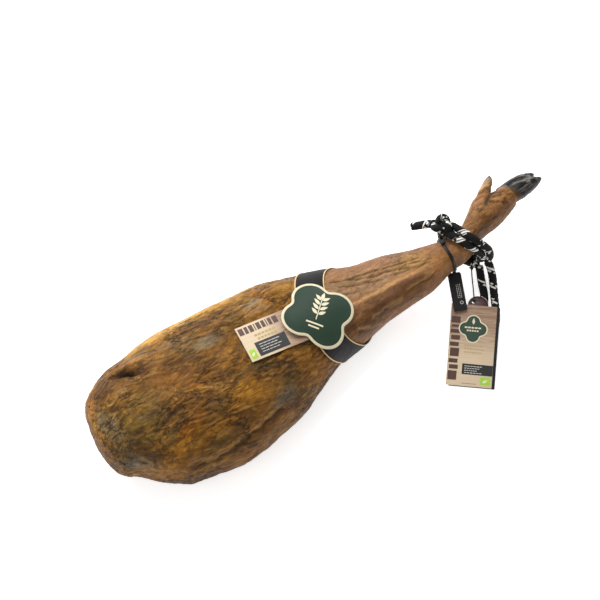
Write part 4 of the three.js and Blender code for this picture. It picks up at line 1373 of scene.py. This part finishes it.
class CUREDHAM_OT_seal_strap(bpy.types.Operator):
    """Finishes the seal's ring and its flag with the flag's rows of small print"""

    bl_idname = "cured_ham.seal_strap"
    bl_label = "Seal strap"

    def execute(self, context):
        strap = copy_of("seal_strap", "seal_ring_and_flag", "moulded_seal_plastic")
        bevelled(strap, 0.0003, 40)
        settle(strap, "seal_strap", "seal_plastic", smooth_below=35)
        tree = tree_of(strap)
        root, end = Vector(FLAG_ROOT), Vector(FLAG_END)
        along = end - root
        along.z = 0
        reach = 1000 * along.length
        along.normalize()
        side = Vector((-along.y, along.x, 0))
        probes, heights = (24, 30, 36, 42), []
        for v in probes:
            at = root + along * (v * MM)
            heights.append(tree.ray_cast(Vector((at.x, at.y, 0.2)), Vector((0, 0, -1)))[0].z)
        fall, level = np.polyfit(probes, heights, 1)

        def place(u, v, lift):
            at = root + along * (v * MM) + side * (u * MM)
            return (at.x, at.y, level + fall * v + (lift + 0.35) * MM)

        # the flag's full width runs on up to the ring, over its narrow neck
        verts = []
        stations = [(1.6, 6.2), (2.2, 7.6), (3.2, 8.4), (4.4, 8.7)]
        stations += [(v, 8.7) for v in np.linspace(6, reach - 0.8, 14)]
        stations += [(reach - 0.2, 8.4), (reach + 0.4, 8.0)]
        thick, round_off = 1.9, 0.3
        for v, half in stations:
            left = [(-half, -thick), (-half, -round_off), (-half + round_off, 0)]
            for u, up in left + [(-u, up) for u, up in reversed(left)]:
                verts.append(place(u, v, up))
        faces = walls(len(stations), 6)
        last = 6 * (len(stations) - 1)
        faces.append((5, 4, 3, 2, 1, 0))
        faces.append(tuple(last + j for j in range(6)))
        flag = piece_from("seal_flag", verts, faces, ["moulded_seal_plastic"], smooth=False)
        settle(edited(flag, normals_make_consistent={"inside": False}), None, "seal_plastic", smooth_below=35)

        print_on = Print(place)
        for row in range(3):
            left, right = -0.6 + 2.2 * row, 0.1 + 2.2 * row
            print_on.bar(left, 17, right, 36, "white_ink", 0.08, pieces=8, gap=0.8, turn=True)
        print_on.shape(circle(3.0, 41.5, 2.3), "white_ink", 0.08)
        print_on.shape(circle(3.0, 41.5, 1.5), "black_ink", 0.18)
        print_on.piece("strap_print", "seal_plastic")
        return {"FINISHED"}


# The rope's turns round the pastern, from the loop's one end to its knot, in millimetres.
TURNS = [
    (217.5, -21, 31), (220, -23, 44), (218.5, -20.5, 58), (211.5, -15.5, 71), (202.5, -6, 81.5),
    (196, 7.5, 84), (191, 21, 82.5), (187.5, 31.5, 75.5), (187, 34, 63), (188, 32.5, 50), (191.5, 28.5, 37),
    (198, 19, 27), (205, 7, 22.5), (210, -5, 24), (211, -14.5, 33), (209.5, -19.5, 45), (207.5, -18.5, 57),
    (200, -13, 69), (190.5, -4, 78), (184, 8.5, 81), (180, 21, 81), (178.5, 31, 82),
]
UNDER_TURN = [
    (206, -19.5, 28), (202, -10, 21.5), (194, 3, 22), (187, 15, 27), (182, 25, 38), (179.5, 30.5, 53),
    (179, 31.5, 66), (179.5, 31, 76), (179.5, 32, 84),
]


class CUREDHAM_OT_rope_lashing(bpy.types.Operator):
    """Winds the rope's turns round the pastern, ties its knot and leaves its cut tail"""

    bl_idname = "cured_ham.rope_lashing"
    bl_label = "Rope lashing"

    def execute(self, context):
        radius = sizes().rope / 2

        def rope(name, points, share, lumps, seed, start_run):
            return tube(
                name, points, radius * share, 28, 0.0011, "braided_polyester_rope",
                BRAID_DEPTH, lumps, seed, start_run,
            )[0]

        def metres(line):
            return [tuple(c * MM for c in p) for p in line]

        middle, lean = Vector(KNOT_CENTRE), Vector((-0.25, -0.2, 0.95)).normalized()
        first = lean.cross(Vector((0, 0, 1))).normalized()
        second = lean.cross(first)
        coils = []
        for k in range(31):
            t = 2 * math.pi * k / 30 + 0.5
            a = math.sin(t) + 2 * math.sin(2 * t)
            b = math.cos(t) - 2 * math.cos(2 * t)
            c = -math.sin(3 * t)
            coils.append(tuple(middle + (first * (3.5 * a) + second * (3.3 * b) + lean * (4.6 * c)) * MM))
        parts = [
            rope("turns", metres(TURNS), 0.95, 0.03, 5, 0.31),
            rope("under", metres(UNDER_TURN), 0.95, 0.03, 9, 0.9),
            rope("tail", TAIL_ROUTE, 1.0, 0.03, 11, 0.55),
            rope("knot", coils, 0.93, 0.04, 7, 0.1),
        ]
        lashing = joined(parts, "lashing_and_knot")
        settle(lashing, "rope_lashing", "rope")
        return {"FINISHED"}


class CUREDHAM_OT_disc(bpy.types.Operator):
    """Makes the round plastic disc on the string"""

    bl_idname = "cured_ham.disc"
    bl_label = "Disc seal"

    def execute(self, context):
        disc = copy_of("disc_seal", "seal_disc", "moulded_disc_plastic")
        bevelled(disc, 0.0005, 50)
        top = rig.box("disc_seal")[1][2]
        bpy.ops.mesh.primitive_torus_add(
            location=(*DISC_CENTRE, top), major_radius=0.0113, minor_radius=0.0006,
            major_segments=48, minor_segments=8,
        )
        bead = context.object
        activate(bead)
        bpy.ops.object.transform_apply(location=True, rotation=True, scale=True)
        bead.data.materials.append(bpy.data.materials["moulded_disc_plastic"])
        settle(joined([disc, bead], "seal_disc"), "disc_seal", "disc_plastic", smooth_below=35)
        return {"FINISHED"}


def on_tag(raised):
    """Places the front tag's own millimetres on its upper face."""
    facing = Matrix.Translation(TAG_FOOT) @ Matrix.Rotation(TAG_HEADING, 4, "Z")
    whole = facing @ Matrix.Translation((0, 0, raised)) @ Matrix.Rotation(TAG_TILT, 4, "X")

    def place(u, v, lift):
        return tuple(whole @ Vector((u * MM, v * MM, CARD_THICKNESS + lift * MM)))

    return place


class CUREDHAM_OT_tags(bpy.types.Operator):
    """Makes the two hang tags with the front one's blocks of print"""

    bl_idname = "cured_ham.tags"
    bl_label = "Hang tags"

    def execute(self, context):
        for source, name, finish, slot in (
            ("tag_front", "front_tag", "tag_wood_print", "label_card"),
            ("tag_back", "back_tag", "coated_black_board", "back_card"),
        ):
            card = copy_of(source, name, finish)
            bevelled(card, 0.0002, 50)
            settle(card, source, slot, smooth_below=35)
        print_on = Print(on_tag(CARD_THICKNESS + CARD_GAP))
        for low, high, left in (
            (7, 19, -28), (21.5, 27, -27), (29.5, 35, -28), (38, 49, -27), (51.5, 57, -28), (60, 66, -27),
            (69, 74, -28), (77, 80, -27), (82.5, 91, -28),
        ):
            print_on.bar(left, low, left + 11.5, high, "brown_ink", 0.05)
        rim = lobed(9.4, 9.4) + np.array([0.5, 76])
        field = lobed(9.4, 9.4, inset=1.5) + np.array([0.5, 76])
        print_on.shape(rim, "cream_ink", 0.12)
        print_on.shape(field, "bottle_green_ink", 0.22)
        for wide, at in ((11, 77.6), (8, 73.6)):
            print_on.bar(0.5 - wide, at - 1.1, 0.5 + wide, at + 0.9, "cream_ink", 0.32, pieces=5, gap=0.9)
        print_on.shape(leaf(0.5, 82, 8.5, 3.4, 90), "cream_ink", 0.32)
        for row in range(3):
            low, high = 44 + 4.5 * row, 45.4 + 4.5 * row
            print_on.bar(-9, low, 14 + 3 * (row % 2), high, "pale_gold_ink", 0.05, pieces=7, gap=1.1)
        print_on.bar(-10, 15.5, 29.3, 29.5, "black_ink", 0.05)
        for row in range(4):
            low, high = 26 - 2.9 * row, 27 - 2.9 * row
            print_on.bar(-7, low, 16 - 3 * (row % 3), high, "white_ink", 0.15, pieces=6, gap=0.8)
        print_on.bar(14.5, 3.5, 27, 13, "leaf_green_ink", 0.05)
        print_on.shape(leaf(17.2, 6, 7.5, 3.4, 30), "cream_ink", 0.15)
        print_on.bar(-9, 3.2, 10, 3.9, "brown_ink", 0.05, pieces=9, gap=0.8)
        print_on.piece("tag_print", "label_card")
        return {"FINISHED"}


class CUREDHAM_PT_panel(bpy.types.Panel):
    """Lists what makes the cured ham, with its sizes and colours"""

    bl_idname = "CUREDHAM_PT_panel"
    bl_label = "Cured Ham"
    bl_space_type = "VIEW_3D"
    bl_region_type = "UI"
    bl_category = "Cured Ham"

    def draw(self, context):
        for operator in MAKING_ORDER:
            self.layout.operator(operator.bl_idname)
        for group in (sizes(), colours()):
            for key in group.__annotations__:
                self.layout.prop(group, key)


MAKING_ORDER = [
    CUREDHAM_OT_stage,
    CUREDHAM_OT_disc,
    CUREDHAM_OT_tags,
    CUREDHAM_OT_rope_loop,
    CUREDHAM_OT_tag_string,
    CUREDHAM_OT_rope_lashing,
    CUREDHAM_OT_ham,
    CUREDHAM_OT_label_band,
    CUREDHAM_OT_badge,
    CUREDHAM_OT_small_label,
    CUREDHAM_OT_seal_strap,
]
CLASSES = [HamSizes, HamColours, *MAKING_ORDER, CUREDHAM_PT_panel]


def register():
    for kind in CLASSES:
        bpy.utils.register_class(kind)
    bpy.types.Scene.cured_ham_sizes = bpy.props.PointerProperty(type=HamSizes)
    bpy.types.Scene.cured_ham_colours = bpy.props.PointerProperty(type=HamColours)


def unregister():
    del bpy.types.Scene.cured_ham_colours
    del bpy.types.Scene.cured_ham_sizes
    for kind in reversed(CLASSES):
        bpy.utils.unregister_class(kind)


def main():
    register()
    make_materials()
    for operator in MAKING_ORDER:
        group, name = operator.bl_idname.split(".")
        getattr(getattr(bpy.ops, group), name)()
    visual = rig.bounds()
    with open("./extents.json", "w") as out:
        boxes = {"cad": CAD_BOX, "visual": visual}
        json.dump({key: [list(map(float, p)) for p in box] for key, box in boxes.items()}, out)


if __name__ == "__main__":
    main()
